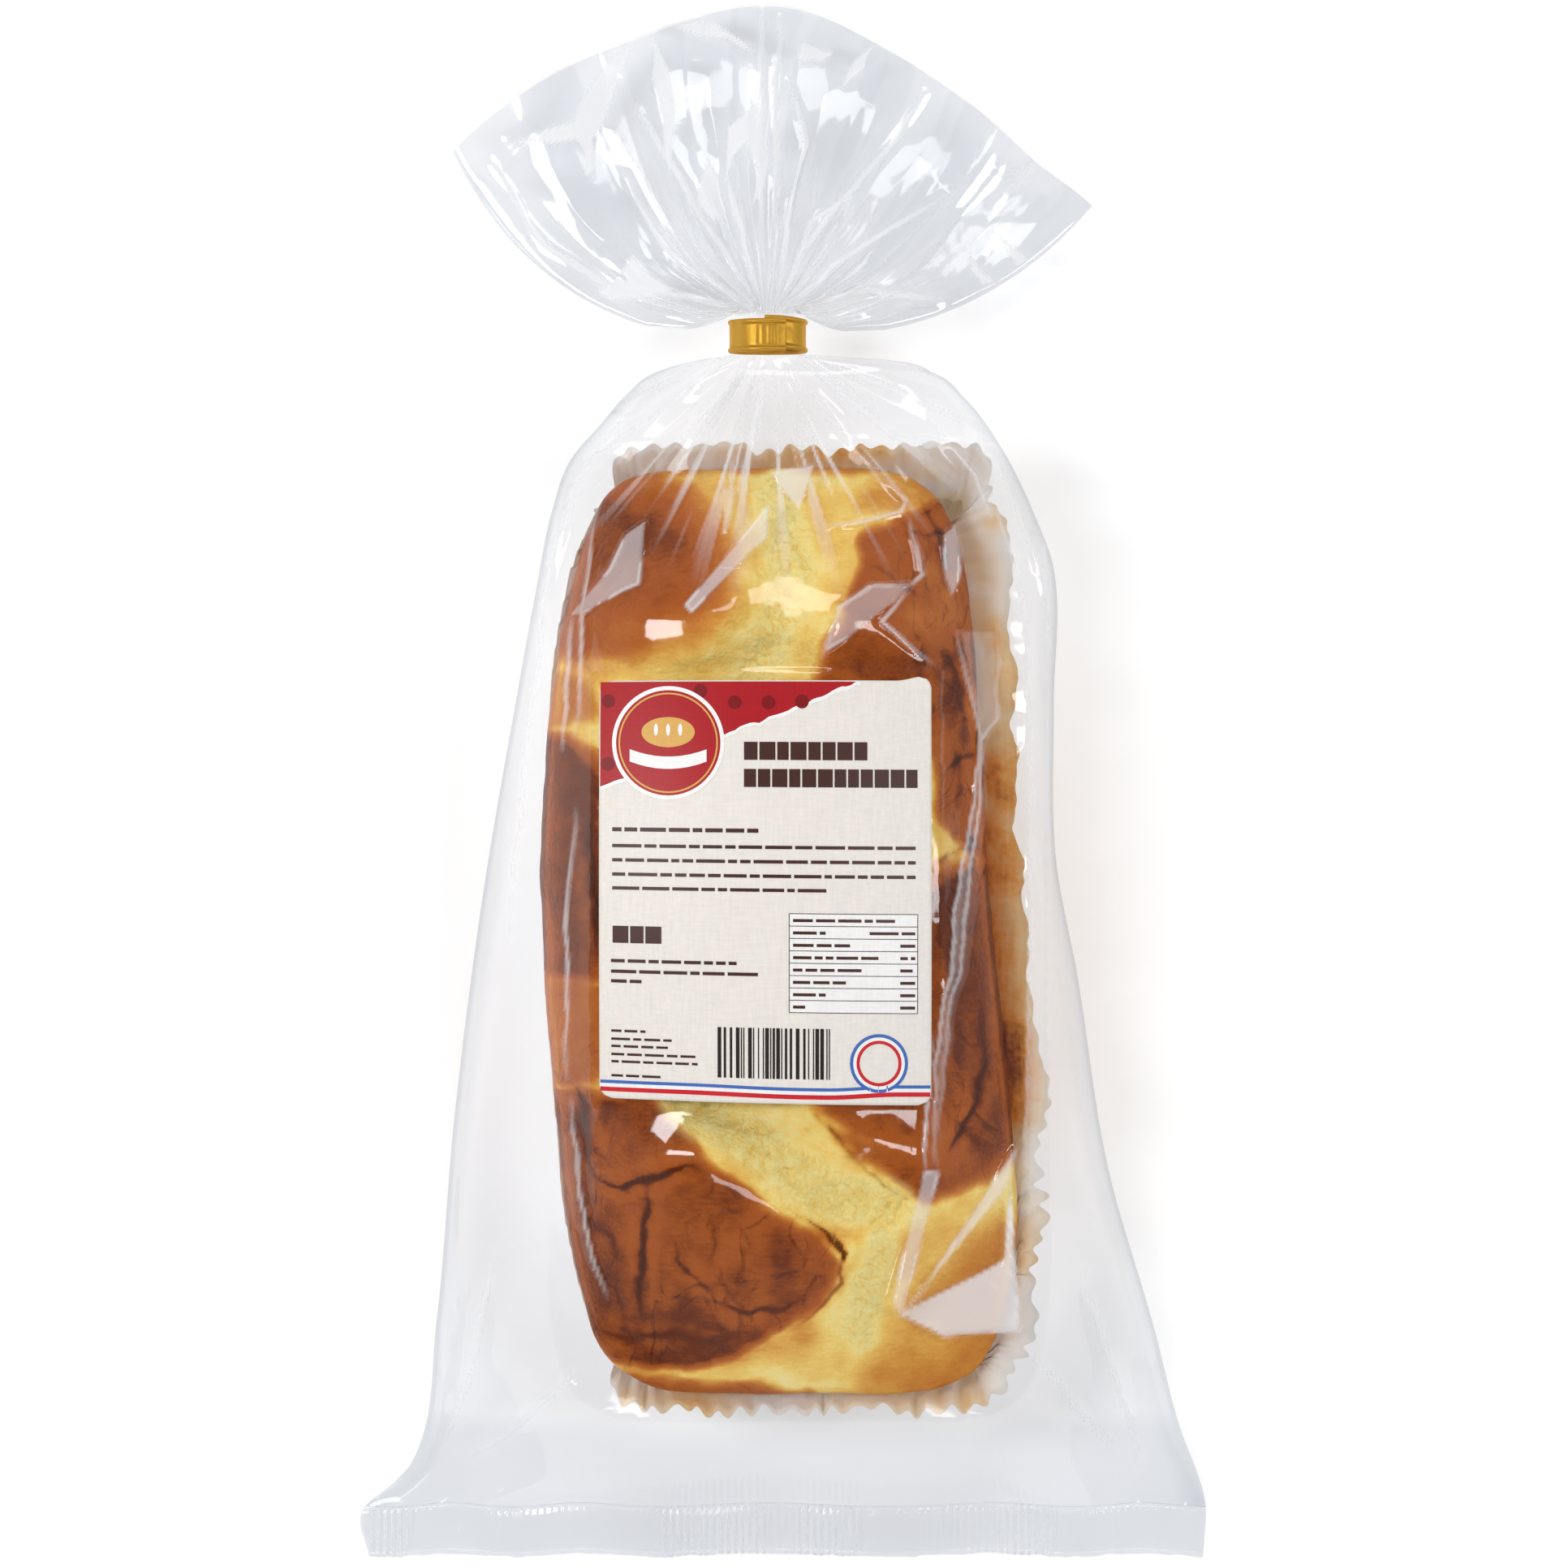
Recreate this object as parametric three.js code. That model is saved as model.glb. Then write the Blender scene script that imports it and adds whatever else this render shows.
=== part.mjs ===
// A braided brioche in a fluted paper case, sealed in a clear film bag that lies with its label up.
// Millimetres. +X goes right across the loaf, +Y runs along it to the gathered neck, +Z is up.

import * as THREE from 'three';

// The bag: a film tube, welded flat at the lower end and gathered into a neck at the upper one
const WELD_EDGE_Y = -200; // the outer edge of the welded band
const WELD_DEPTH = 13;
const FILM_STEP = 1.1; // the least thickness of the closed solid, where two films meet
const WELD_WAVES = 5; // swings of the welded edge across its width
const WELD_SWING = 1.3; // how far the edge swings along the bag
const WELD_LIFT = 2.2; // how far it swings above the floor
const WELD_UNEVENNESS = 0.05;
const WELD_FADE = 22; // how far along the bag the swing dies out

// The bag's outline seen from above: x of each long edge at a few places along the bag
const LEFT_EDGE = [
  [-200, -107.5], [-188, -109], [-181, -101], [-175, -96], [-138, -89.5], [-86, -84.7],
  [-28, -77], [23, -67.9], [50, -62.7], [69, -58.7], [82, -54], [91, -46.5], [99, -39.5],
  [104, -33], [107.3, -22], [108.7, -12.5],
];
const RIGHT_EDGE = [
  [-200, 108.5], [-186, 109], [-164, 101.6], [-139, 95], [-98, 83], [-49, 74.8],
  [-18, 68.9], [20, 68.3], [54, 68.3], [68, 63.4], [80, 57.8], [91, 51.2], [98, 45.5],
  [104, 38], [107.6, 24], [108.7, 4.3],
];

// Height of the fold that runs down each long edge of the bag, at a few places along it
const LEFT_FOLD = [
  [-200, 0.5], [-186, 0.9], [-172, 3], [-138, 7], [-86, 11], [-28, 16], [23, 24], [60, 31], [90, 32],
  [108.7, 30],
];
const RIGHT_FOLD = [
  [-200, 0.5], [-186, 0.9], [-164, 4], [-139, 8], [-98, 14], [-49, 22], [-18, 28], [20, 31], [90, 32],
  [108.7, 30],
];

// The neck, where the tie holds the film together
const NECK_X = -4.1;
const NECK_Y = 113.8;
const NECK_Z = 30;
const NECK_LENGTH = 10.2;
const NECK_HALF_WIDTH = 8.4;
const NECK_HALF_HEIGHT = 4.3;

// The ruffle: the bag's open end, spread like a fan beyond the tie
const RUFFLE_REACH = [ // angle from +X in degrees, distance of the rim from the neck
  [22.6, 90.2], [33, 83.2], [51, 79.8], [68, 80.8], [88, 86.2], [112, 84.6], [131, 88.4], [149, 94.5],
];
const RUFFLE_FULL_ANGLES = [3, 175]; // of its two side folds, close to the neck
const RUFFLE_FULL_SHARE = 0.33; // of the reach, up to where the side folds keep those angles
const RUFFLE_RIM_Z = 11;
const RUFFLE_LEAST_Z = 0.4; // the ruffle's lowest folds stay this far above the floor
const RUFFLE_THICKNESS = 3.2; // at the rim, between the two films
const PLEATS = 7;
const PLEAT_HEIGHT = 5;
const PLEAT_UNEVENNESS = 0.3;
const RUFFLE_OPENING = 0.22; // share of the reach in which the film leaves the neck
const RUFFLE_RISE = 0.75; // share of the reach in which the pleats grow to their height

// The paper case that the loaf was baked in
const CASE_MIDDLE = [3.5, -36.5];
const CASE_HALF = [61.5, 122]; // half of its width and length at the rim
const CASE_RIM_HEIGHT = 40;
const CASE_CORNER_POWER = 8; // 2 is an ellipse, more is closer to a rectangle
const CASE_FLOOR_HALF_WIDTH = 50; // of the flat base that the loaf stands on

// The loaf, which leans over the case's left side: its middle and half width at places along it
const LOAF_MIDDLE_X = [[-154, 4], [-95, 1], [-33, -4.5], [80, -3.5]];
const LOAF_HALF_WIDTH = [[-154, 55], [-120, 57], [-78, 57.5], [-7, 55.5], [60, 51], [80, 50]];
const LOAF_MIDDLE_Y = -37;
const LOAF_HALF_LENGTH = 116.5;
const LOAF_CORNER_POWER = 6;
const LOAF_SIDE_POWER = 2.4;
const LOAF_WIDEST_HEIGHT = 36; // where its sides turn in, down into the case
const LOAF_BODY_HEIGHT = 61;
const WING_LEAST_WIDTH = 9; // of the film beside the base, up to the fold
const WING_POWER = 1.6; // of the wing's rise from the base to the fold
const UNDERSIDE_RISE_Y = 74; // from here the film leaves the floor and rises to the neck
const STRAND_BLEND = 22; // how crisply two strands of the braid meet

// The braid: each strand that comes to the top is a long mound, with the place of its middle,
// its half length and half width, its turn in degrees from +X, and the height of its crown
const STRANDS = [
  { at: [-1, 68], half: [44, 22], turn: 0, crown: 70 },
  { at: [-29, 50], half: [38, 29], turn: -22, crown: 78 },
  { at: [27, 46], half: [38, 27], turn: 28, crown: 76 },
  { at: [29, 0], half: [40, 27], turn: 34, crown: 78 },
  { at: [-28, -20], half: [41, 34], turn: -28, crown: 79 },
  { at: [30, -62], half: [42, 36], turn: 30, crown: 80 },
  { at: [-22, -108], half: [44, 35], turn: -24, crown: 80 },
  { at: [31, -128], half: [38, 29], turn: 24, crown: 75 },
];
const STRAND_ROOT = 34; // height at which the mounds end
const FILM_SLACK = 0.5; // between the crust and the film that lies on it

// The label, a sticker on the top of the bag
const LABEL_MIDDLE = [-4.6, -26];
const LABEL_SIZE = [82, 103];
const LABEL_CORNER = 3.2;
const LABEL_THICKNESS = 0.5;
const LABEL_GAP = 0.35;
const LABEL_CREST = 76.3; // the film's height under the middle of the label, which holds it smooth
const LABEL_FALL = [9, 5]; // from there to its side edges, and to its ends
const LABEL_COLUMNS = 12;
const LABEL_ROWS = 15;

// The tie, a flat band with a wire bead along each edge, wound a little over once round the neck
const BAND_Y = 113.3; // the middle of the band
const BAND_WIDTH = 8.4;
const TIE_GAP = 0.35; // between the neck and the band's beads
const BAND_THICKNESS = 0.5;
const BEAD_RADIUS = 0.7;
const TIE_START = 95; // degrees round the neck from +X, the end that lies beneath
const TIE_TURN = 392;
const TIE_OVERLAP_RISE = 1.8; // how far the upper end stands off the lower one
const TIE_OVERLAP_START = 300; // degrees of the turn at which it starts to rise
const TIE_OVERLAP_RAMP = 50; // degrees over which it rises
const TIE_TWIST = 1; // how far the lower end runs off towards the ruffle
const TIE_TWIST_TURN = 110; // degrees over which it comes back into line
const TIE_STEPS = 52;

// How finely the solids are divided
const ACROSS = 32; // columns over the bag, and as many beneath it
const BODY_ROWS = 58;
const RUFFLE_ROWS = 12;
const SETTLING_ROUNDS = 900;

const BODY_END_Y = NECK_Y - NECK_LENGTH / 2;
const RUFFLE_START_Y = NECK_Y + NECK_LENGTH / 2;
const degrees = Math.PI / 180;

function clamp01(value) {
  return Math.min(1, Math.max(0, value));
}

function smooth(value) {
  const t = clamp01(value);
  return t * t * (3 - 2 * t);
}

function mix(a, b, t) {
  return a + (b - a) * t;
}

// A smooth curve through a few pairs of [place, value], as a function of the place.
function through(pairs) {
  const places = pairs.map((pair) => pair[0]);
  const values = pairs.map((pair) => pair[1]);
  const cubic = new THREE.CubicInterpolant(places, values, 1);
  const first = places[0];
  const last = places[places.length - 1];
  return (place) => cubic.evaluate(Math.min(last, Math.max(first, place)))[0];
}

const leftEdge = through(LEFT_EDGE);
const rightEdge = through(RIGHT_EDGE);
const leftFold = through(LEFT_FOLD);
const rightFold = through(RIGHT_FOLD);
const loafMiddleX = through(LOAF_MIDDLE_X);
const loafHalfWidth = through(LOAF_HALF_WIDTH);
const ruffleReach = through(RUFFLE_REACH);

// How far out a place lies on a rounded rectangle: 0 in its middle, 1 on its outline.
function outness(dx, dy, power) {
  return (Math.abs(dx) ** power + Math.abs(dy) ** power) ** (1 / power);
}

// Height of one mound of the braid over the floor, or 0 away from it.
function strandHeight(strand, x, y) {
  const turn = strand.turn * degrees;
  const dx = x - strand.at[0];
  const dy = y - strand.at[1];
  const along = (dx * Math.cos(turn) + dy * Math.sin(turn)) / strand.half[0];
  const over = (dy * Math.cos(turn) - dx * Math.sin(turn)) / strand.half[1];
  const left = 1 - along * along - over * over;
  return left > 0 ? STRAND_ROOT + (strand.crown - STRAND_ROOT) * Math.sqrt(left) : 0;
}

// Height of the loaf's crust: its rounded body and the mounds of the braid, blended where they meet.
function crustHeight(x, y) {
  const dx = (x - loafMiddleX(y)) / loafHalfWidth(y);
  const dy = (y - LOAF_MIDDLE_Y) / LOAF_HALF_LENGTH;
  const out = outness(dx, dy, LOAF_CORNER_POWER);
  if (out >= 1) return 0;
  const share = (1 - out ** LOAF_SIDE_POWER) ** (1 / LOAF_SIDE_POWER);
  const mounds = STRANDS.map((strand) => strandHeight(strand, x, y) ** STRAND_BLEND);
  const sum = mounds.reduce((a, b) => a + b, LOAF_BODY_HEIGHT ** STRAND_BLEND);
  return mix(LOAF_WIDEST_HEIGHT, sum ** (1 / STRAND_BLEND), share);
}

// Height of the case's rim, which the film also lies on, or 0 outside the case.
function caseHeight(x, y) {
  const dx = (x - CASE_MIDDLE[0]) / CASE_HALF[0];
  const dy = (y - CASE_MIDDLE[1]) / CASE_HALF[1];
  return outness(dx, dy, CASE_CORNER_POWER) < 1 ? CASE_RIM_HEIGHT : 0;
}

// Height that the label's stiff paper holds the film at, or 0 outside the label.
function labelSupport(x, y) {
  const dx = Math.abs(x - LABEL_MIDDLE[0]) / (LABEL_SIZE[0] / 2);
  const dy = Math.abs(y - LABEL_MIDDLE[1]) / (LABEL_SIZE[1] / 2);
  return Math.max(dx, dy) > 1 ? 0 : LABEL_CREST - LABEL_FALL[0] * dx * dx - LABEL_FALL[1] * dy * dy;
}

// Place along the bag of each row of the body, closer together towards the neck.
function bodyRowY(row) {
  const t = row / BODY_ROWS;
  const crowding = 0.06 * Math.sin(Math.PI * t) + 0.055 * t * (1 - t) * Math.sin(3 * Math.PI * t);
  return mix(WELD_EDGE_Y, BODY_END_Y, t + crowding);
}

// The swing of the welded band, which dies out towards the loaf.
function weldWave(across) {
  const turns = WELD_WAVES * (across + WELD_UNEVENNESS * Math.sin(7 * across));
  return 0.5 - 0.5 * Math.cos(2 * Math.PI * turns);
}

function weldShare(y) {
  return 1 - smooth((y - WELD_EDGE_Y - WELD_DEPTH) / WELD_FADE);
}

// The underside: flat on the floor under the loaf, up to the side folds, and up to the neck.
function underside(across, y) {
  const x = mix(rightEdge(y), leftEdge(y), across);
  const middle = CASE_MIDDLE[0];
  const half = across < 0.5 ? rightEdge(y) - middle : middle - leftEdge(y);
  const fold = across < 0.5 ? rightFold(y) : leftFold(y);
  const flat = Math.min(CASE_FLOOR_HALF_WIDTH, half - WING_LEAST_WIDTH);
  const beyond = clamp01((Math.abs(x - middle) - flat) / (half - flat));
  const wing = (fold - FILM_STEP / 2) * beyond ** WING_POWER;
  const neck = NECK_Z - neckBulge(across);
  const rising = smooth((y - UNDERSIDE_RISE_Y) / (BODY_END_Y - UNDERSIDE_RISE_Y));
  const waving = WELD_LIFT * weldWave(across) * weldShare(y);
  return Math.max(0, mix(wing, neck, rising)) + waving;
}

function neckBulge(across) {
  const side = 2 * across - 1;
  return Math.max(FILM_STEP / 2, NECK_HALF_HEIGHT * Math.sqrt(Math.max(0, 1 - side * side)));
}

// The top film of the body: a taut skin that rests on the crust. Its edges are fixed at the side folds,
// the weld and the neck, and every other point settles to the mean of its neighbours or onto the crust.
function settledFilm() {
  const place = [];
  const height = [];
  const rest = [];
  for (let row = 0; row <= BODY_ROWS; row += 1) {
    const y = bodyRowY(row);
    for (let column = 0; column <= ACROSS; column += 1) {
      const across = column / ACROSS;
      const x = mix(rightEdge(y), leftEdge(y), across);
      const atEdge = column === 0 || column === ACROSS || row === BODY_ROWS;
      const fixed = atEdge || y < WELD_EDGE_Y + WELD_DEPTH;
      const floor = underside(across, y) + FILM_STEP;
      const contents = Math.max(crustHeight(x, y), caseHeight(x, y)) + FILM_SLACK;
      const least = labelSupport(x, y) || Math.max(floor, contents);
      place.push([x, y]);
      rest.push(fixed ? null : least);
      if (row === BODY_ROWS) height.push(NECK_Z + neckBulge(across));
      else height.push(fixed ? floor : least);
    }
  }
  const stride = ACROSS + 1;
  for (let round = 0; round < SETTLING_ROUNDS; round += 1) {
    for (let k = 0; k < height.length; k += 1) {
      if (rest[k] === null) continue;
      const wide = (place[k + 1][0] - place[k - 1][0]) / 2;
      const back = place[k][1] - place[k - stride][1];
      const ahead = place[k + stride][1] - place[k][1];
      const over = 1 / (wide * wide);
      const behind = 2 / (back * (back + ahead));
      const before = 2 / (ahead * (back + ahead));
      const sides = over * (height[k - 1] + height[k + 1]);
      const ends = behind * height[k - stride] + before * height[k + stride];
      height[k] = Math.max(rest[k], (sides + ends) / (2 * over + behind + before));
    }
  }
  return height;
}

const filmHeights = settledFilm();

// Height of the settled film at any place on the body, read between the points of its grid.
function filmHeight(x, y) {
  let row = 0;
  while (row < BODY_ROWS - 1 && bodyRowY(row + 1) < y) row += 1;
  const t = (y - bodyRowY(row)) / (bodyRowY(row + 1) - bodyRowY(row));
  const across = (x - rightEdge(y)) / (leftEdge(y) - rightEdge(y));
  const column = Math.min(ACROSS - 1, Math.floor(across * ACROSS));
  const s = across * ACROSS - column;
  const between = (r) => {
    const k = r * (ACROSS + 1) + column;
    return mix(filmHeights[k], filmHeights[k + 1], s);
  };
  return mix(between(row), between(row + 1), t);
}

function bodyPoint(row, across, top) {
  const y = bodyRowY(row);
  const swing = WELD_SWING * weldWave(across) * weldShare(y) * (row < BODY_ROWS ? 1 : 0);
  const x = mix(rightEdge(y), leftEdge(y), across);
  const z = top ? filmHeights[row * (ACROSS + 1) + Math.round(across * ACROSS)] : underside(across, y);
  return [x, y + swing, z];
}

// A pleat's height over the middle of the ruffle, from -1 to 1: folds of uneven widths.
function pleat(across) {
  const turn = PLEATS * across + PLEAT_UNEVENNESS * Math.sin(11 * across);
  return Math.cos(2 * Math.PI * turn) * (1 - 0.4 * Math.sin(17 * across) ** 2);
}

// A point of the ruffle: out from the neck is 0 to 1, across runs from its right fold to its left.
function rufflePoint(out, across, top) {
  const rightRim = RUFFLE_REACH[0][0];
  const leftRim = RUFFLE_REACH[RUFFLE_REACH.length - 1][0];
  const narrowing = clamp01((out - RUFFLE_FULL_SHARE) / (1 - RUFFLE_FULL_SHARE));
  const right = mix(RUFFLE_FULL_ANGLES[0], rightRim, narrowing);
  const left = mix(RUFFLE_FULL_ANGLES[1], leftRim, narrowing);
  const angle = mix(right, left, across) * degrees;
  const reach = ruffleReach(mix(rightRim, leftRim, across)) * out;
  const startX = NECK_X + NECK_HALF_WIDTH * (1 - 2 * across);
  const spread = smooth(out / RUFFLE_OPENING);
  const x = mix(startX, NECK_X + reach * Math.cos(angle), spread);
  const straight = 0.4 * (1 - spread) * reach; // the film leaves the tie along the bag first
  const y = mix(RUFFLE_START_Y, NECK_Y + reach * Math.sin(angle), spread) + straight;
  const middle = mix(NECK_Z, RUFFLE_RIM_Z, smooth(out));
  const edge = Math.sqrt(Math.max(0, 1 - (2 * across - 1) ** 8));
  const fold = PLEAT_HEIGHT * smooth(out / RUFFLE_RISE) * pleat(across) * edge;
  const thick = mix(2 * neckBulge(across), RUFFLE_THICKNESS * edge + FILM_STEP, smooth(out * 2));
  return [x, y, Math.max(RUFFLE_LEAST_Z, middle + fold + (top ? thick / 2 : -thick / 2))];
}

// A closed mesh from rings of the same even count. A ring's first half runs over the top, its second
// half comes back beneath, and both end rings are closed by a strip between their two halves.
function closedRings(rings) {
  const count = rings[0].length;
  const points = rings.flat();
  const faces = [];
  for (let r = 0; r + 1 < rings.length; r += 1) {
    for (let k = 0; k < count; k += 1) {
      const a = r * count + k;
      const b = r * count + ((k + 1) % count);
      faces.push(a, b + count, b, a, a + count, b + count);
    }
  }
  const last = (rings.length - 1) * count;
  for (let k = 0; k + 1 < count / 2; k += 1) {
    const [above, beneath] = [k, count - 1 - k];
    faces.push(above, above + 1, beneath - 1, above, beneath - 1, beneath);
    const [a, b] = [last + above, last + beneath];
    faces.push(a, b - 1, a + 1, a, b, b - 1);
  }
  const geometry = new THREE.BufferGeometry();
  geometry.setAttribute('position', new THREE.Float32BufferAttribute(points.flat(), 3));
  geometry.setIndex(faces);
  geometry.computeVertexNormals();
  return geometry;
}

// One section of the bag: over the top from the right fold to the left, and back beneath it.
function sectionOf(pointAt) {
  const ring = [];
  for (let k = 0; k <= ACROSS; k += 1) ring.push(pointAt(k / ACROSS, true));
  for (let k = ACROSS; k >= 0; k -= 1) ring.push(pointAt(k / ACROSS, false));
  return ring;
}

function bagGeometry() {
  const rings = [];
  for (let row = 0; row <= BODY_ROWS; row += 1) {
    rings.push(sectionOf((across, top) => bodyPoint(row, across, top)));
  }
  for (let row = 0; row <= RUFFLE_ROWS; row += 1) {
    rings.push(sectionOf((across, top) => rufflePoint(row / RUFFLE_ROWS, across, top)));
  }
  return closedRings(rings);
}

// The label's slab follows the film under it, clear of the highest point near each of its own.
function labelGeometry() {
  const columns = LABEL_COLUMNS;
  const rows = LABEL_ROWS;
  const steps = [-1, 0, 1];
  const near = steps.flatMap((dx) => steps.map((dy) => [dx, dy]));
  const over = [];
  const under = [];
  for (let j = 0; j <= rows; j += 1) {
    for (let i = 0; i <= columns; i += 1) {
      const corner = (i % columns === 0 && j % rows === 0) ? LABEL_CORNER * (1 - Math.SQRT1_2) : 0;
      const x = LABEL_MIDDLE[0] + (LABEL_SIZE[0] / 2 - corner) * (2 * i / columns - 1);
      const y = LABEL_MIDDLE[1] + (LABEL_SIZE[1] / 2 - corner) * (2 * j / rows - 1);
      const halfX = LABEL_SIZE[0] / columns / 2;
      const halfY = LABEL_SIZE[1] / rows / 2;
      const film = Math.max(...near.map(([dx, dy]) => filmHeight(x + dx * halfX, y + dy * halfY)));
      under.push([x, y, film + LABEL_GAP]);
      over.push([x, y, film + LABEL_GAP + LABEL_THICKNESS]);
    }
  }
  const count = over.length;
  const stride = columns + 1;
  const faces = [];
  const quad = (a, b, c, d) => faces.push(a, b, c, a, c, d);
  for (let j = 0; j < rows; j += 1) {
    for (let i = 0; i < columns; i += 1) {
      const k = j * stride + i;
      quad(k, k + 1, k + 1 + stride, k + stride);
      quad(count + k, count + k + stride, count + k + 1 + stride, count + k + 1);
    }
  }
  const rim = [];
  for (let i = 0; i < columns; i += 1) rim.push(i);
  for (let j = 0; j < rows; j += 1) rim.push(j * stride + columns);
  for (let i = columns; i > 0; i -= 1) rim.push(rows * stride + i);
  for (let j = rows; j > 0; j -= 1) rim.push(j * stride);
  rim.forEach((a, k) => {
    const b = rim[(k + 1) % rim.length];
    quad(count + a, count + b, b, a);
  });
  const geometry = new THREE.BufferGeometry();
  geometry.setAttribute('position', new THREE.Float32BufferAttribute([...over, ...under].flat(), 3));
  geometry.setIndex(faces);
  geometry.computeVertexNormals();
  return geometry;
}

// The section of the tie's band: y along the bag and a height off the neck, thin between two beads.
function bandSection() {
  const half = BAND_WIDTH / 2 - BEAD_RADIUS;
  const side = Math.cos(25 * degrees) * BEAD_RADIUS;
  const low = Math.sin(25 * degrees) * BEAD_RADIUS;
  const row = [[half + side, low], [half, BEAD_RADIUS], [half - side, BAND_THICKNESS / 2]];
  const above = [...row, ...row.map(([y, height]) => [-y, height]).reverse()];
  return [...above, ...above.map(([y, height]) => [y, -height]).reverse()];
}

// The band wound round the neck: an oval path whose last stretch rises over the first.
function tieGeometry() {
  const section = bandSection();
  const rings = [];
  for (let step = 0; step <= TIE_STEPS; step += 1) {
    const turned = TIE_TURN * step / TIE_STEPS;
    const angle = (TIE_START - turned) * degrees;
    const rise = TIE_OVERLAP_RISE * smooth((turned - TIE_OVERLAP_START) / TIE_OVERLAP_RAMP);
    const off = BEAD_RADIUS + TIE_GAP + rise;
    const shift = TIE_TWIST * (1 - smooth(turned / TIE_TWIST_TURN));
    const [c, s] = [Math.cos(angle), Math.sin(angle)];
    const normal = new THREE.Vector2(c / NECK_HALF_WIDTH, s / NECK_HALF_HEIGHT).normalize();
    const baseX = NECK_X + NECK_HALF_WIDTH * c;
    const baseZ = NECK_Z + NECK_HALF_HEIGHT * s;
    rings.push(section.map(([y, height]) => [
      baseX + normal.x * (off + height),
      BAND_Y + shift - y,
      baseZ + normal.y * (off + height),
    ]));
  }
  return closedRings(rings);
}

function surfaced(name, geometry, finish) {
  const mesh = new THREE.Mesh(geometry, new THREE.MeshStandardMaterial(finish));
  mesh.name = name;
  return mesh;
}

const brioche = new THREE.Group();
brioche.add(surfaced('bag', bagGeometry(), { color: 0xb9763a, roughness: 0.25, metalness: 0 }));
brioche.add(surfaced('tie', tieGeometry(), { color: 0xd2a23c, roughness: 0.3, metalness: 0.9 }));
brioche.add(surfaced('label', labelGeometry(), { color: 0xece6dd, roughness: 0.5, metalness: 0 }));

export default brioche;
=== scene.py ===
"""A packed brioche: a braided loaf in a fluted paper case, in a clear bag with a gold band.

Sizes in this file are millimetres in the CAD's frame, and become metres when a mesh is made:
+X goes right across the loaf, +Y along it to the gathered neck, and +Z up out of the label.
"""

import math

import bpy
import numpy as np
from bpy.props import FloatProperty, FloatVectorProperty, PointerProperty
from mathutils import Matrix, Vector


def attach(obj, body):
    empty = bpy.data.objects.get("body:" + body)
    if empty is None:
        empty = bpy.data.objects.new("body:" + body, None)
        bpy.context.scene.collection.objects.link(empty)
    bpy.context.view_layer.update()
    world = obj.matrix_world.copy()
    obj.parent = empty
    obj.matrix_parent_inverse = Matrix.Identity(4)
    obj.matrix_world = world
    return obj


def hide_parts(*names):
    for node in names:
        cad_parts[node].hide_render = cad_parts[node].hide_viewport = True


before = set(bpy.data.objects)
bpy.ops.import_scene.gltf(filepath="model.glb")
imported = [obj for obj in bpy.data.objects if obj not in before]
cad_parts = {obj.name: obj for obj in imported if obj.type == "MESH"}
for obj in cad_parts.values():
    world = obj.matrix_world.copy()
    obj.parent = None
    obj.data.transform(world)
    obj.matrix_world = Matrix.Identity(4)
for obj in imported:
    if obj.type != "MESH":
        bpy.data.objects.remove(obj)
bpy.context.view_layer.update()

bl_info = {
    "name": "Packed brioche",
    "version": (1, 0, 0),
    "blender": (4, 5, 0),
    "location": "3D View > Sidebar > Brioche",
    "description": "Builds a braided brioche in its paper case, film bag, tie band and label",
    "category": "Add Mesh",
}

# The bag's outline seen from above: x of each long edge at a few places along the bag
LEFT_EDGE = [
    (-200, -107.5), (-188, -109), (-181, -101), (-175, -96), (-138, -89.5), (-86, -84.7),
    (-28, -77), (23, -67.9), (50, -62.7), (69, -58.7), (82, -54), (91, -46.5), (99, -39.5),
    (104, -33), (107.3, -22), (108.7, -12.5),
]
RIGHT_EDGE = [
    (-200, 108.5), (-186, 109), (-164, 101.6), (-139, 95), (-98, 83), (-49, 74.8), (-18, 68.9),
    (20, 68.3), (54, 68.3), (68, 63.4), (80, 57.8), (91, 51.2), (98, 45.5), (104, 38),
    (107.6, 24), (108.7, 4.3),
]
# Height of the fold along each of those edges
LEFT_FOLD = [
    (-200, 0.5), (-186, 0.9), (-172, 3), (-138, 7), (-86, 11), (-28, 16), (23, 24), (60, 31),
    (90, 32), (108.7, 30),
]
RIGHT_FOLD = [
    (-200, 0.5), (-186, 0.9), (-164, 4), (-139, 8), (-98, 14), (-49, 22), (-18, 28), (20, 31),
    (90, 32), (108.7, 30),
]
FILM_STEP = 1.1  # least room between the two films
FILM_CEILING = 82.5  # above which no crease of the film stands
WING_LEAST_WIDTH = 9
UNDERSIDE_RISE_Y = 74
PULL_HEIGHT = 1.5  # of the pleats that run out of the neck
FACET_REACH = 2  # how far round a large facet the film's height counts for its own
FACET_RISE = 1.4
# Painted highlights of the film, white mixed into it: in its creases, in the rays from the neck,
# on the facets' rims beyond what the facets are, and along its side folds
CREASE_PAINTED_HIGHLIGHT = 0.42
PULL_PAINTED_HIGHLIGHT = 0.7
RIM_PAINTED_HIGHLIGHT = 0.25
SIDE_FOLD_PAINTED_HIGHLIGHT = 0.12
# How doubled the film is beside the loaf, past its lower end, near the neck and at the edges
DOUBLED_WING = 0.22
DOUBLED_BELOW = 0.72
DOUBLED_NECK = 0.4
DOUBLED_EDGE = 0.85
WING_START_X = 62
BELOW_START_Y = -157
NECK_START_Y = 80
FACET_SIZES = (24, 10)  # of the film's large and small facets
FACET_HEIGHTS = (0.9, 0.22)
LOOSE_ROOM = 6  # room over the contents from which the film is fully loose
LOOSE_HEIGHT = 0.8  # of the crumples in the lower film beside the case
SETTLING_ROUNDS = (60, 150, 400)  # at the finest grid, the next and the coarsest
SETTLING_STEP = 1.5  # how far a point goes to its neighbours' mean: past it, which is quicker
FILM_COLUMNS = 224
FILM_ROWS = 392
FILM_UNDER_COLUMNS = 28

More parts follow.
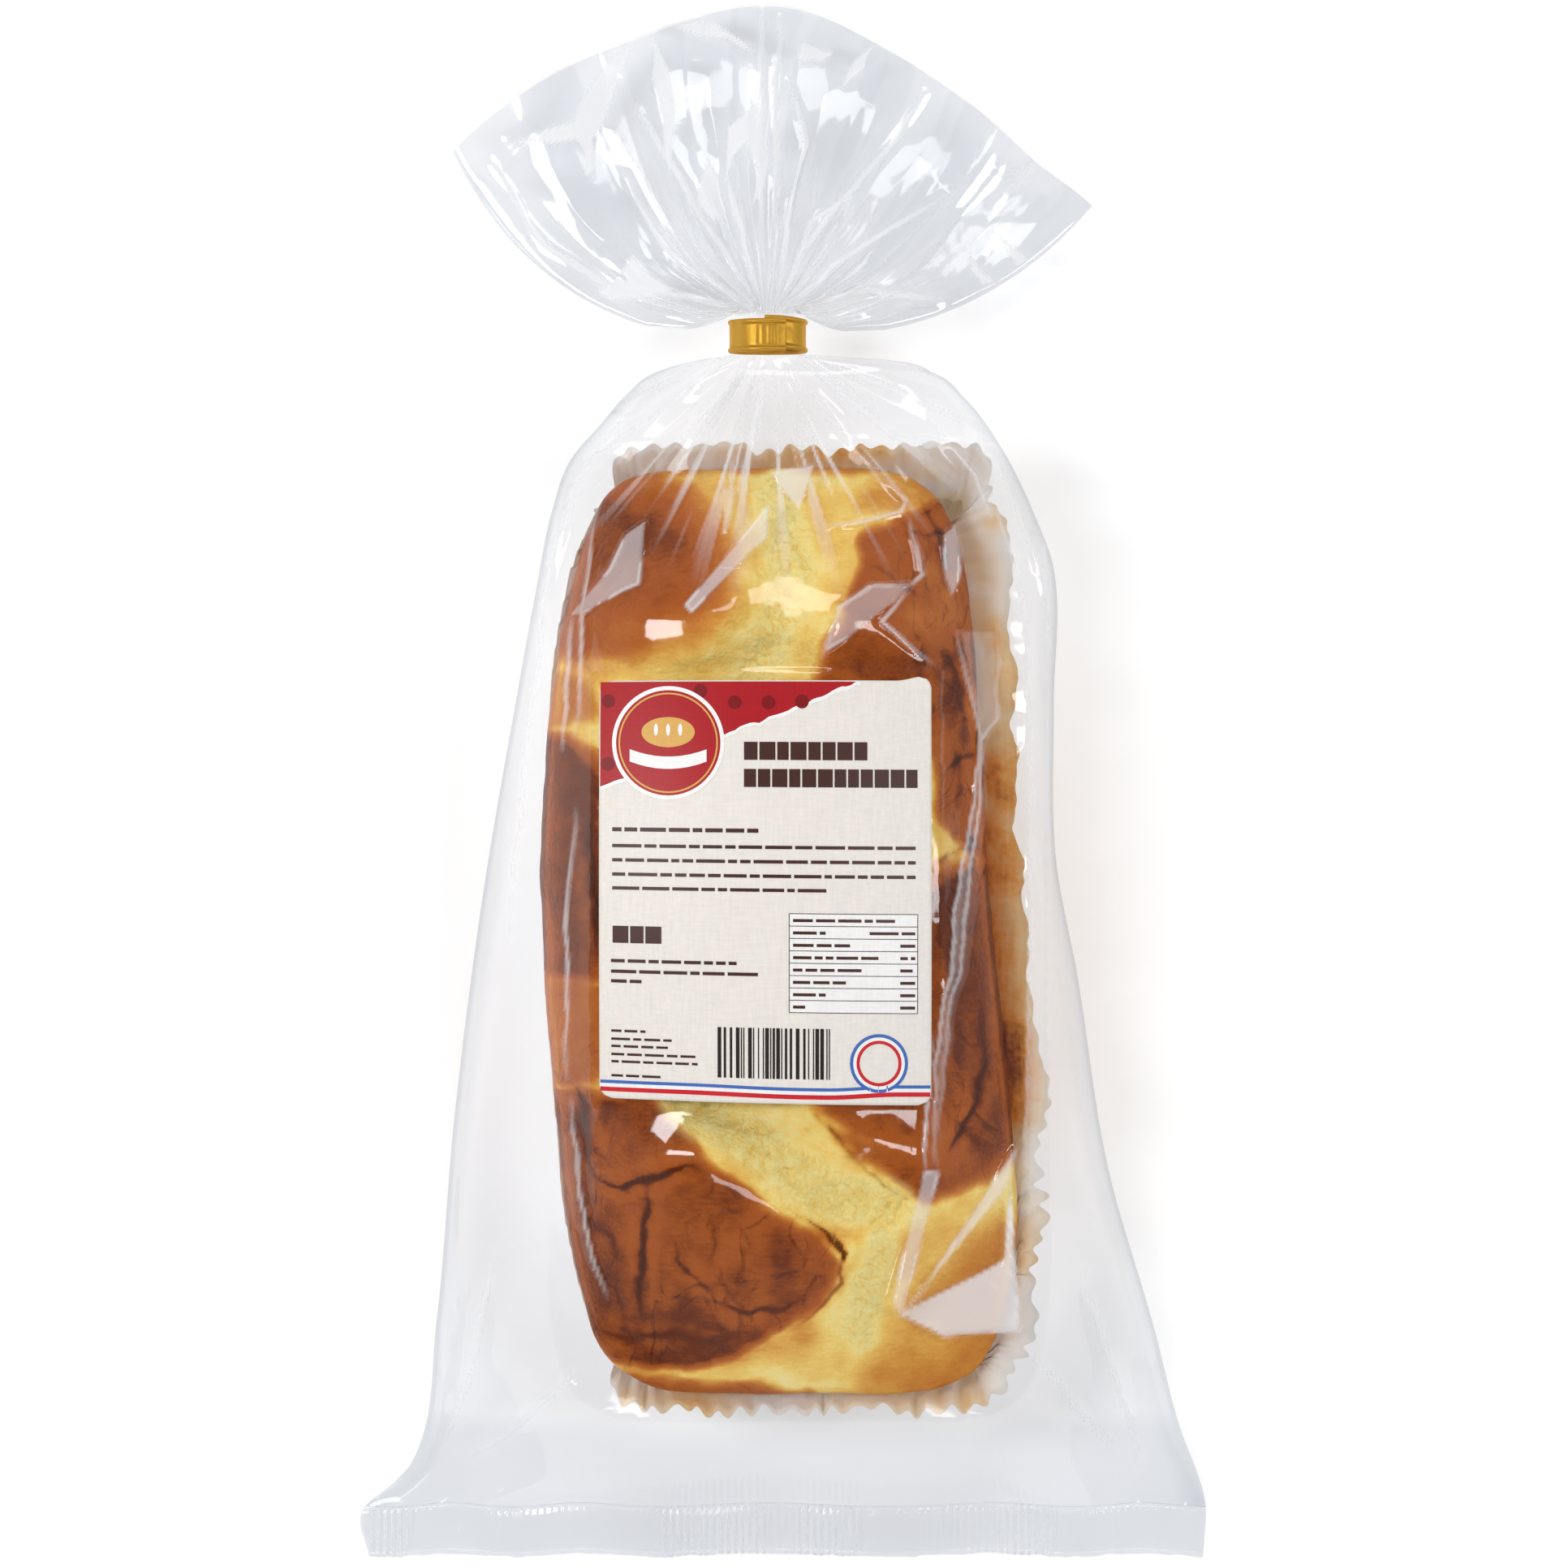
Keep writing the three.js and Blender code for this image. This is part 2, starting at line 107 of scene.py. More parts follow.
# The weld, which swings a little along the bag and off the floor
WELD_EDGE_Y = -200
WELD_DEPTH = 13
WELD_WAVES = 5
WELD_SWING = 1.3
SWING_FADE = 22  # length of the bag above the weld over which the swing fades away
WELD_LIFT = 2.2
RIB_PITCH = 1.85
RIB_HEIGHT = 0.2
RIB_PAINTED_HIGHLIGHT = 0.35  # painted highlight: how strong the dashes along the ribs are
DOUBLED_WELD = 0.42  # how doubled the film looks in the weld
WELD_THICKNESS = 0.3
WELD_COLUMNS = 940
WELD_ROWS = 10

# The neck and the ruffle beyond it
NECK_X = -4.1
NECK_Y = 113.8
NECK_Z = 30
NECK_LENGTH = 10.2
NECK_HALF_WIDTH = 8.4
NECK_HALF_HEIGHT = 4.3
RUFFLE_REACH = [
    (22.6, 90.2), (33, 83.2), (51, 79.8), (68, 80.8), (88, 86.2), (112, 84.6), (131, 88.4),
    (149, 94.5),
]
RUFFLE_FULL_ANGLES = (3, 175)
RUFFLE_FULL_SHARE = 0.33
RUFFLE_RIM_Z = 11
RUFFLE_THICKNESS = 3.2
RUFFLE_PLEATS = (9.5, 11.5)  # across its lower and its upper film
RUFFLE_PLEAT_HEIGHT = 2
RUFFLE_FACET_HEIGHTS = (1.7, 0.24)  # of its large and its small facets
RUFFLE_RAYS = 43  # fine pleats close to the tie
RAY_HEIGHT = 0.8
# Painted highlights of the ruffle: in its rays, on its pleats' ridges, in its sharp folds and its
# leaves
RAY_PAINTED_HIGHLIGHT = 0.5
RIDGE_PAINTED_HIGHLIGHT = 0.3
SHARP_FOLD_PAINTED_HIGHLIGHT = 0.85
LEAF_PAINTED_HIGHLIGHT = 0.9
RUFFLE_COLUMNS = 300
RUFFLE_ROWS = 116
# Leaf-shaped painted highlights on the ruffle's crumpled film, as outlines
PAINTED_HIGHLIGHT_LEAVES = [
    [(-70, 163.8), (-61, 167.9), (-54, 169.6), (-51.2, 176.9), (-45, 186), (-38.1, 189.9),
     (-42.9, 180.4), (-46.4, 170), (-48.8, 165.1), (-48.5, 156.8), (-50.8, 155),
     (-51.2, 162.4), (-53.3, 164.9), (-61, 164)],
    [(-33.2, 190.8), (-29, 181.8), (-27.6, 173.5), (-29, 155.4), (-30.7, 161), (-31.1, 171.4),
     (-33.9, 180.4)],
    [(-28.3, 194.3), (-23.5, 196), (-17.2, 195), (-9.6, 189.4), (-7.5, 186.7), (-15.1, 191.2),
     (-22.1, 191.8)],
    [(-14.4, 167.9), (-9.6, 171.4), (-6.5, 174.9), (-5.4, 166.5), (-4, 159.6), (-5.1, 151.2),
     (-8.2, 146.4), (-6.8, 155.4), (-9.6, 163.8), (-13.1, 159.6), (-14.9, 152.6)],
    [(-19.3, 160.3), (-16.8, 154), (-15.1, 142.9), (-19.3, 144.3), (-22.4, 147.8), (-21.4, 154)],
    [(-38.8, 134.6), (-33.2, 129), (-27.6, 125.1), (-36, 123.5), (-44.3, 123.5), (-47.8, 125.6),
     (-42.9, 129)],
    [(4.3, 190.1), (12.6, 187.6), (9.9, 185.3), (2.9, 186)],
    [(24.4, 190.8), (21.7, 187.4), (20.3, 183.2), (16.8, 180.4), (14, 177.6), (18.2, 186)],
    [(47.4, 136), (50.1, 131.8), (54.3, 128.3), (50.8, 127.9), (47.6, 131.8)],
    [(53.6, 142.2), (59.2, 137.4), (62.6, 134.6), (59.9, 132.5), (57.1, 137.4)],
]
# Sharp folds of the ruffle that run out from the tie: the line each follows, and its half width
RUFFLE_FOLDS = [
    ([(-5.4, 121.4), (-6, 145.7), (-5.7, 173.5), (-6.1, 198.5)], 0.9),
    ([(-2.4, 121.4), (-1.9, 145.7), (-2.4, 173.5), (-1.2, 197.1)], 0.8),
    ([(-7.1, 121.4), (-15.1, 134.6), (-23.5, 148.5), (-31.8, 163.8), (-37.4, 173.5)], 0.9),
    ([(-8.9, 120.7), (-20.7, 129), (-30.4, 136), (-40.1, 155.4)], 0.8),
    ([(-9.6, 119.3), (-23.5, 123.5), (-42.9, 126.2), (-61, 137.4), (-74.9, 159.6)], 1.1),
    ([(-6.1, 121.4), (-11, 141.5), (-15.1, 155.4)], 0.8),
    ([(-0.6, 121.4), (4.3, 134.6), (12.6, 145.7), (29.3, 166.5), (36.2, 177.6)], 0.9),
    ([(0.8, 120.7), (12.6, 131.8), (26.5, 141.5), (40.4, 149.9)], 0.8),
    ([(2.9, 120), (21, 125.6), (40.4, 123.5)], 1),
    ([(-1.9, 123.5), (1.5, 142.9), (5.7, 163.8), (1.5, 180.4)], 0.8),
    ([(-1.2, 122.1), (7.1, 142.9), (16.8, 149.9), (15.4, 142.9), (7.1, 131.8)], 0.7),
]

# The paper case
CASE_MIDDLE = (3.5, -36.5)
CASE_HALF = (61.5, 122)
CASE_RIM_HEIGHT = 40
CASE_CORNER_POWER = 8
CASE_FLOOR_HALF_WIDTH = 50
CASE_FLOOR_HEIGHT = 0.35
CASE_FLUTES = 120
FLUTE_DEPTHS = (0.45, 0.85)  # half of their swing, at the floor and at the rim
RIM_UNEVENNESS = 2.2
LEFT_WALL_INSET = 3
CASE_COLUMNS = 1080
CASE_LEVELS = 15
OUTLINE_STEPS = 24000  # along which the columns are spaced evenly
CASE_RIM_LEFT = 27  # the loaf overhangs the case there
# Along its right side, the share of the flutes that is pressed flat, and how far its rim is in
CASE_PRESSED = [(-160, 0), (-84, 0), (-66, 0.8), (40, 0.8), (60, 0.3), (85, 0.3)]
CASE_DRAWN_IN = [(-160, -2), (-60, -1.6), (-28, 1.5), (0, 4.4), (85, 4.4)]
# Stains on the paper: middle, half width and half length, and how dark
CASE_STAINS = [
    (56, -32, 10, 58, 0.66),
    (58, 30, 8, 10, 0.34),
    (54, 44, 7, 12, 0.1),
    (57, 68, 6, 5, 0.3),
    (8, 84, 22, 6, 0.42),
    (57, -72, 7, 20, 0.34),
    (34, -158, 26, 5, 0.24),
    (-40, -158, 26, 5, 0.34),
]
CASE_PAPER = 0.16  # its thickness
PATCH_STAIN = 0.24  # how dark the small patches all over it are

# The loaf
LOAF_MIDDLE_X = [(-154, 4), (-95, 1), (-33, -4.5), (80, -3.5)]
LOAF_HALF_WIDTH = [(-154, 55), (-120, 57), (-78, 57.5), (-7, 55.5), (60, 51), (80, 50)]
LOAF_MIDDLE_Y = -37
LOAF_HALF_LENGTH = 116.5
LOAF_CORNER_POWER = 6
LOAF_SIDE_POWER = 2.4
LOAF_WIDEST_HEIGHT = 36
LOAF_BASE_HEIGHT = 1.2
LOAF_SIDE = [(0, 0.88), (21, 0.985), (36, 1.02), (60, 1.02)]  # least reach of the case, by z
LOAF_BODY_HEIGHT = 64.5
STRAND_BLEND = 22
STRAND_ROOT = 34
CRUST_UNDER_LABEL = 0.9
LIMIT_SOFTNESS = 0.7
SWELLING_REACH = (1.5, 0.4)  # of a brown field, and for each millimetre of its fade
GROOVE_SHARE = 0.32  # depth of the groove round a swollen field, for each millimetre it swells
GROOVE_WIDTH = 0.8
TORN_DEPTH = 1.5
TORN_ROUGHNESS = 1.3
LUMP_SIZE = 20
LUMP_HEIGHT = 0.8
GRAIN_SIZE = 2.6
GRAIN_HEIGHT = 0.16
RIPPLE_SIZE = 8  # of the wide wrinkles
PUCKER_SIZE = 3.6  # of the fine ones between them
PUCKER_HEIGHT = 0.34
BANK_SHARE = 0.3  # of a crease's depth, in height of the banks beside it
# How brown the crust is baked outside its brown fields, and how much that varies
BROWN_LEAST = 0.18
BROWN_SPREAD = 0.15
PAINTED_RIM_SHADE = 0.1  # painted shade: how much browner towards the loaf's outline, where its sides fall from the light
BAKED_SIDE = (0.5, 0.25)  # low on its sides, and how much that varies
BAKED_BASE = 0.4
# Middle x and y, half length, half width, turn in degrees and crown height of each strand on top
STRANDS = [
    (-1, 68, 44, 22, 0, 70),
    (-29, 50, 38, 29, -22, 78),
    (27, 46, 38, 27, 28, 76),
    (29, 0, 40, 27, 34, 78),
    (-28, -20, 41, 34, -28, 79),
    (30, -62, 42, 36, 30, 80),
    (-22, -108, 44, 35, -24, 80),
    (31, -128, 38, 29, 24, 75),
]
# Place on the skin's square, and the share of the loaf's half width that it lies at
SKIN_REACH = [(0, 0), (0.5, 0.56), (0.8, 0.885), (0.9, 0.975), (0.94, 1), (0.97, 0.965), (1, 0.86)]
SKIN_WIDEST = 0.94
SKIN_FALL = [(0, 36), (0.94, 36), (0.97, 21), (1, 1.4)]
CRUST_COLUMNS = 221
CRUST_ROWS = 425

# The label, which holds the film under it smooth
LABEL_MIDDLE = (-4.6, -26)
LABEL_SIZE = (82, 103)
LABEL_CORNER = 3.2
LABEL_CREST = 76.3
LABEL_FALL = (9, 5)
LABEL_GAP = 0.45
LABEL_HOLD = 2.5  # how far beyond its outline the film is held smooth too
LABEL_THICKNESS = 0.12
LABEL_SKEW = 2  # how much lower its lower right corner is than its lower left one
LABEL_COLUMNS = 110
LABEL_ROWS = 136
# Its upper right corner is loose. It bends from the line across + slant * up = start, where up
# counts from its lower edge, and the tip rises and is drawn along the label by:
TIP_START = 155.5
TIP_SLANT = 0.8
TIP_BEND = 8
TIP_RISE = 2.2
TIP_DRAWN = 1.2
BADGE = (17.1, 15.3)
BADGE_RADIUS = 13.9
DOTS = [(2.2, 5), (33.5, 5.4), (41.8, 5.4), (50, 5.2), (2.2, 20.5), (25, 2.6)]
PRINT_CELL = 2.2  # widest cell of a print's grid, and of a disc's
DISC_CELL = 1.6
# Lines of large print: left and right end, place down the label, height and seed
LARGE_PRINT = [
    (35.8, 67.1, 17.2, 4.4, 1),
    (35.8, 78.8, 23.8, 4.4, 2),
    (3.4, 16.2, 62.4, 4.2, 4),
]
INK_HEIGHT = 0.82
# Blocks of small print: left end, height, first seed, longest word, and each line's end and place
SMALL_PRINT = [
    (3.3, INK_HEIGHT * 1.2, 3, 7.5, [(39.4, 36.6)]),
    (3.3, INK_HEIGHT, 10, 7.5, [(78, 40.6), (78, 44.1), (78, 47.6), (57, 51)]),
    (3, INK_HEIGHT, 20, 7.5, [(34, 68.9), (39.2, 71.5), (12, 73.9)]),
    (3, 0.6, 30, 5, [(11.5, 86.2), (18, 88.2), (17.6, 90), (24.8, 92), (24.4, 93.8), (15.2, 97.3)]),
]
TABLE = (46.8, 78.6, 56.6, 80.6)  # left, right, top and bottom
TABLE_LINE = 0.18
TABLE_WORDS = (26, 8, 14, 21, 17, 13, 8, 3)  # length of the print in the left column, by row
BAR_CODE = (29.3, 57.4, 84.5, 96.9)
MARK = (69, 92.8)

# The tie band
BAND_Y = 113.3
BAND_WIDTH = 8.4
TIE_GAP = 0.35
BAND_THICKNESS = 0.5
BEAD_RADIUS = 0.7
TIE_START = 95
TIE_TURN = 392
TIE_OVERLAP_RISE = 1.8
TIE_TWIST = 1
TIE_STEPS = 260
LINE_HEIGHT = 0.07  # of the fine lines across the band near its end
BAND_UNEVENNESS = 0.05

# Brown fields of the crust: outline seen from above, how brown it is baked from 0 to 1,
# how far in from its outline it reaches that, and how far it swells above its edge
BROWN_FIELDS = [
    ([(-75, 84), (-40, 79), (-28, 74), (-22, 62), (-21, 46), (-26, 33), (-34, 27.5),
      (-75, 27)], 0.7, 9, 0),
    ([(-75, 34), (-52, 31), (-44, 22), (-46, 12), (-75, 10)], 0.42, 5, 0),
    ([(-75, 90), (-52, 88), (-36, 84), (-20, 78), (-9, 66), (-6, 53), (-8, 41), (-15, 33),
      (-24, 28.5), (-35, 27), (-52, 27), (-75, 30)], 0.82, 18, 3.4),
    ([(16, 50), (18, 62), (27, 68), (38, 74), (52, 84), (75, 84), (75, -25), (50, -22),
      (36, -10), (36, 8), (32, 22), (9, 24), (7, 30), (13, 39)], 0.78, 4, 1.6),
    ([(5, 20), (8, 33), (16, 44), (26, 47), (36, 44), (40, 30), (38, 18), (20, 14)], 0.86, 5, 2),
    ([(-80, 17), (-56, 16), (-43, 7), (-33, -8), (-27, -27), (-33, -46), (-45, -52),
      (-57, -52), (-80, -50)], 0.95, 6, 3),
    ([(-80, -40), (-50, -44), (-38, -50), (-34, -62), (-38, -76), (-60, -80), (-80, -80)],
     0.64, 6, 0.6),
    ([(3, -74), (8, -83), (14, -89.5), (20, -96), (28, -103), (37, -104.5), (47, -102),
      (57, -96), (75, -92), (75, -18), (50, -15), (36, -20), (26, -20), (14, -30), (6, -50)],
     0.86, 5, 3.6),
    ([(30, -16), (75, -14), (75, -94), (50, -90), (36, -78), (32, -40)], 1.04, 10, 0),
    ([(-80, -72), (-46, -75), (-28, -76.5), (-23, -83), (-19, -91), (-12, -97), (-1, -103),
      (9, -110), (14, -117), (15, -123), (12, -129), (4, -135), (-3, -139), (-13, -146),
      (-27, -149), (-42, -147), (-60, -141), (-80, -125)], 0.87, 3.6, 4.4),
    ([(26, -110), (42, -106), (75, -98), (75, -165), (30, -165), (8, -152), (18, -140),
      (22, -128)], 0.33, 14, 1.6),
    ([(-60, -145), (-20, -149), (8, -149), (14, -170), (-70, -170)], 0.64, 4, 0.3),
    ([(12, 64), (18, 82), (46, 86), (54, 70), (32, 62)], 0.36, 8, 0),
    ([(-60, 73), (0, 77), (60, 74), (70, 95), (-70, 95)], 0.44, 6, 0.3),
]
# Torn crumb, pale yellow and rough: the line it follows and its half width
CRUMB_SEAMS = [
    ([(-3, 72), (0, 64), (2, 50), (-3, 34), (-8, 24)], 5.5),
    ([(-24, -78), (-14, -84), (-1, -93), (13, -103), (27, -105)], 6),
    ([(26, -108), (21.5, -124), (19.5, -138)], 4),
]
# Creases: the line each follows, its depth and its width
CREASES = [
    ([(-48, -7), (-47, -22), (-46, -42)], 4.3, 1.3),
    ([(-49, -1), (-41, -4), (-37, -12)], 2.2, 1.1),
    ([(-51, -73), (-50, -86), (-47, -98)], 3, 1.2),
    ([(-47, -98), (-41, -99.5), (-34, -98), (-27, -95), (-21, -93.5)], 4.6, 1),
    ([(-34, -99), (-35, -112), (-36, -124), (-35, -134)], 4.6, 1),
    ([(49, -54), (49.5, -66), (49, -77), (45, -86), (40, -93)], 4.3, 1),
    ([(39, 1), (45, 7), (50, 8)], 2.4, 1),
    ([(38, 34), (43, 28), (45, 18), (44, 8)], 2.2, 1.4),
    ([(20, 56), (28, 50), (36, 45)], 1.6, 1.4),
    ([(34, 75), (37, 66), (41, 58), (40, 50)], 2, 1),
    ([(27, 67), (34, 62), (42, 64)], 1.5, 0.9),
    ([(44, 73), (46, 61), (47, 50), (46, 40)], 2.2, 1.1),
    ([(12, 45), (20, 42), (30, 44)], 1.4, 0.9),
    ([(46, -6), (47, -18), (44, -28)], 1.8, 0.9),
    ([(41, 14), (44, 4), (43, -8)], 1.6, 0.9),
    ([(36, 60), (43, 54), (45, 45), (49, 34)], 2.3, 1.3),
    ([(-28, -112), (-26, -118), (-21, -124), (-15, -128)], 1.8, 0.77),
    ([(-20, -128), (-12, -131), (-2, -131), (5, -127)], 2.3, 0.77),
    ([(-50, -136), (-38, -139), (-27, -138), (-17, -140), (-9, -136)], 2, 0.94),
    ([(12, -112), (14.5, -117), (14, -124), (9, -130), (2, -136)], 2.4, 0.85),
    ([(-18, -108), (-17, -113), (-18.5, -118)], 1.2, 0.85),
    ([(-10, -108), (-9, -112), (-9.5, -116)], 1.1, 0.85),
    ([(-53, -104), (-47, -110), (-43, -112), (-42, -118)], 1.6, 0.85),
]
# Wrinkled parts of the crust: middle, half width and half length, and how deep the wrinkles are
WRINKLED = [
    (45, 36, 16, 44, 1.5),
    (44, 0, 14, 28, 1.5),
    (-51, -84, 9, 24, 1.2),
    (-30, -134, 26, 12, 0.9),
    (-6, -118, 20, 20, 0.55),
    (40, -80, 22, 16, 0.6),
]

# Flat facets of the film, where it stands off the crust: outline, the way each leans, its painted
# highlight
FILM_FACETS = [
    ([(-34.8, 64.8), (-36.2, 49.8), (-40.2, 48.2), (-49.8, 42.8), (-52.8, 42.2), (-43.2, 53.2),
      (-39.2, 61.8)], (-0.16, 0.03), 0.34),
    ([(-4.2, 68.2), (-4.8, 61.2), (-22.8, 42.8), (-24, 44.2), (-13.2, 57.2)], (-0.1, 0.1), 0.4),
    ([(31.2, 49.2), (21.2, 48.8), (13.2, 42.8), (10.6, 33.4), (16.8, 37.2), (26.8, 45.2)],
     (0.15, -0.1), 0.26),
    ([(40, 62), (42.5, 64), (44, 57), (43.6, 51), (42, 47.5), (40.3, 52)], (0.16, 0), 0.34),
    ([(-2.8, 77.6), (7.2, 79.4), (3.8, 69), (0.6, 72.5)], (0.05, 0.15), 0.5),
    ([(29, -132), (40, -137.5), (58.5, -136.5), (56.5, -103.5), (55.8, -119), (49, -122.5)],
     (0.2, 0.05), 0.62),
    ([(29, -132), (27, -128), (35, -96), (38, -96.5), (32, -120)], (0.14, 0.04), 0.34),
    ([(29, -132), (33, -128), (57.5, -92), (55, -101)], (0.18, 0.04), 0.45),
]
# Patches of loose film folded over itself, painted as hazy white highlights: outline, and how
# strong
PAINTED_FILM_VEILS = [
    ([(44, 38), (53, 38), (53, 16), (49, 11), (45.7, -30), (41, -58), (38.4, -88), (38, -69),
      (43, -30), (49, 12)], 0.13),
    ([(58, 62), (66, 66), (67, 20), (68, -40), (66, -104), (61, -108), (62, -40), (61, 20)], 0.22),
    ([(22, 97), (34, 94), (42, 86), (36, 84), (24, 90)], 0.5),
    ([(-16, 74), (-12, 74), (-13, 66), (-14.4, 62)], 0.3),
]
# Sharp creases of the film: the line each follows, its height and its width
FILM_CREASES = [
    ([(43, 38), (49, 12), (43, -30), (38, -69), (37.8, -94)], 0.8, 1.8),
    ([(53, 38), (53, 16), (49, 11), (48.3, -5), (45.7, -30), (41, -58), (38.4, -88)], 0.8, 1.8),
    ([(31, 49.5), (22, 49), (14, 43.5), (10, 31)], 0.5, 1.6),
    ([(50, 88), (58, 70), (65, 53), (67, 30)], 1.2, 3),
    ([(40, 86), (47, 78), (52, 68)], 1, 2.4),
    ([(-36, 98), (-49, 82), (-57, 62), (-61, 46)], 1.1, 2.6),
    ([(-53, 42), (-54, 25), (-55, 8)], 0.8, 1.6),
    ([(-46.5, 70), (-50, 44), (-51.5, 12)], 1.2, 2.2),
    ([(-12, 82), (-13, 69), (-15, 62)], 1.3, 2.4),
    ([(10, 64), (18, 65), (30, 68), (31, 71), (25, 76)], 1.1, 1.8),
    ([(32, 66), (34.5, 52), (31, 49)], 1.1, 1.8),
    ([(31, 49), (24, 40), (36, 30)], 1.2, 1.8),
    ([(37, -62), (36, -80), (35, -96)], 1.3, 2.2),
    ([(52, 78), (60, 46), (62, 0), (61, -60), (60, -108)], 1.5, 4),
    ([(-58, 70), (-61, 40), (-66, 0), (-70, -40)], 1.3, 4),
    ([(-52, -6), (-54, -40), (-54, -74)], 1, 1.8),
    ([(-53, -78), (-50, -110), (-44, -128)], 1, 1.8),
    ([(-88, -170), (-80, -150), (-74, -120)], 1.1, 3.5),
    ([(92, -176), (84, -150), (76, -122)], 1.1, 3.5),
    ([(62, -142), (74, -158), (84, -170)], 1, 3),
    ([(-52, -146), (-64, -160), (-78, -172)], 1, 3),
]

# Colours on screen from 0 to 255: of the crust by how brown it is baked, and of torn crumb
CRUST_COLOURS = [
    (0, (255, 238, 168)),
    (0.15, (252, 216, 120)),
    (0.32, (231, 171, 80)),
    (0.5, (206, 128, 54)),
    (0.7, (184, 100, 38)),
    (0.86, (167, 84, 28)),
    (1, (112, 49, 17)),
]
CRUMB_COLOURS = [
    (0.3, (242, 197, 94)),
    (0.42, (255, 221, 123)),
    (0.6, (255, 240, 162)),
]
# Colours of the case's paper by how deeply it is stained
STAIN_COLOURS = [
    (0, (250, 247, 243)),
    (0.3, (246, 224, 184)),
    (0.6, (242, 190, 100)),
    (1, (180, 108, 50)),
]
# Dark brown painted into the creases as their shade
CREASE_SHADE_COLOUR = (72, 30, 10)
GOLD_COLOUR = (212, 162, 58)
# White of the film's painted highlights
PAINTED_HIGHLIGHT_COLOUR = (0.92, 0.93, 0.95, 1)
PRINT_COLOURS = {
    "white": (250, 249, 247), "dark_field": (132, 16, 24), "gold": (226, 176, 92),
    "black": (44, 36, 34), "blue": (70, 112, 190), "red": (214, 38, 48),
}

# The finishes: depths of fine relief in metres, and how the film mirrors
PORE_BUMP = 0.00018
CRUMB_BUMP = 0.0006
CRUST_WRINKLE_BUMP = 0.0009
FIBRE_BUMP = 0.00004
WRINKLE_BUMP = 0.0005
DENT_BUMP = 0.00012
FILM_INDEX = 1.5
MOST_MIRRORED = 0.056  # of the light, at grazing angles too, where the floor would veil the crust

# The stage, in metres
FLOOR_REACH = 4
FLOOR_LEVEL = -0.0003
CAMERA_HEIGHT = 1.4
CAMERA_LENS = 124.15  # millimetres, as its sensor
CAMERA_SENSOR = 36
# Each softbox's place, its width and length in metres, and its share of the power
SOFTBOXES = [
    ((-0.78, 0.12, 1.08), (0.26, 0.52), 1.3),
    ((0.8, 0.0, 1.05), (0.24, 0.5), 0.8),
    ((0.05, 0.9, 1.02), (0.62, 0.24), 0.54),
    ((-0.1, -0.95, 1.0), (0.5, 0.22), 0.45),
]
MIRRORED_WALLS = 0.4  # of their strength, as black flags keep the walls out of the film's gloss


def smooth(value):
    """An S-shaped step: 0 below 0, 1 above 1, and 3t^2 - 2t^3 between them."""
    t = np.clip(value, 0, 1)
    return t * t * (3 - 2 * t)


def mix(a, b, share):
    """a where share is 0, b where it is 1, and a straight blend between them."""
    return a + (b - a) * share


def zigzag(value):
    """A triangle wave between 0 and 1: 1 at even values, and 0 at odd ones."""
    return np.abs(value % 2 - 1)


def squared_oval(dx, dy, power):
    """How far out a place lies on a squared oval: 0 in its middle, and 1 on its outline.

    The outline is |dx|^p + |dy|^p = 1, an oval at power 2 and nearly a square at high ones.
    """
    return (np.abs(dx) ** power + np.abs(dy) ** power) ** (1 / power)


def bell(x, y, middle_x, middle_y, half_x, half_y):
    """1 in the middle of an oval field, 0.37 on its outline, and next to nothing beyond."""
    return np.exp(-(((x - middle_x) / half_x) ** 2 + ((y - middle_y) / half_y) ** 2) ** 2)


def run_out(along, least):
    """Height of a line that runs out towards both its ends, as the root of a half sine."""
    return np.sqrt(np.sin(np.pi * np.clip(along, least, 1 - least)))


def through(pairs, place):
    """A smooth curve through pairs of (place, value), a cubic between each two.

    Its slope at an inner pair is the mean of the straight slopes on its two sides.
    """
    at, value = np.array(pairs, float).T
    secant = np.diff(value) / np.diff(at)
    slope = np.concatenate((secant[:1], (secant[1:] + secant[:-1]) / 2, secant[-1:]))
    place = np.clip(place, at[0], at[-1])
    k = np.clip(np.searchsorted(at, place, side="right") - 1, 0, len(at) - 2)
    step = at[k + 1] - at[k]
    t = (place - at[k]) / step
    level = value[k] * (1 + 2 * t) * (1 - t) ** 2 + value[k + 1] * t * t * (3 - 2 * t)
    return level + step * t * (1 - t) * (slope[k] * (1 - t) - slope[k + 1] * t)


def lattice(i, j, seed):
    """The seeded random value from -1 to 1 that belongs to each pair of whole numbers."""
    values = np.random.default_rng(seed).uniform(-1, 1, (128, 128))
    return values[i % 128, j % 128]


def cloud(x, y, size, seed, octaves=4):
    """Soft noise from about -1 to 1, with patches as wide as size.

    Each octave blends the lattice's values with 6t^5 - 15t^4 + 10t^3, at half the size and
    half the weight of the one before.
    """
    total = 0
    weight = 0
    for octave in range(octaves):
        u = x / size * 2 ** octave + 17.3 * octave
        v = y / size * 2 ** octave + 9.7 * octave
        i, j = np.floor(u).astype(int), np.floor(v).astype(int)
        s, t = u - i, v - j
        s = s ** 3 * (s * (6 * s - 15) + 10)
        t = t ** 3 * (t * (6 * t - 15) + 10)
        near = mix(lattice(i, j, seed + octave), lattice(i + 1, j, seed + octave), s)
        far = mix(lattice(i, j + 1, seed + octave), lattice(i + 1, j + 1, seed + octave), s)
        total = total + mix(near, far, t) * 0.5 ** octave
        weight += 0.5 ** octave
    return total / weight * 1.4


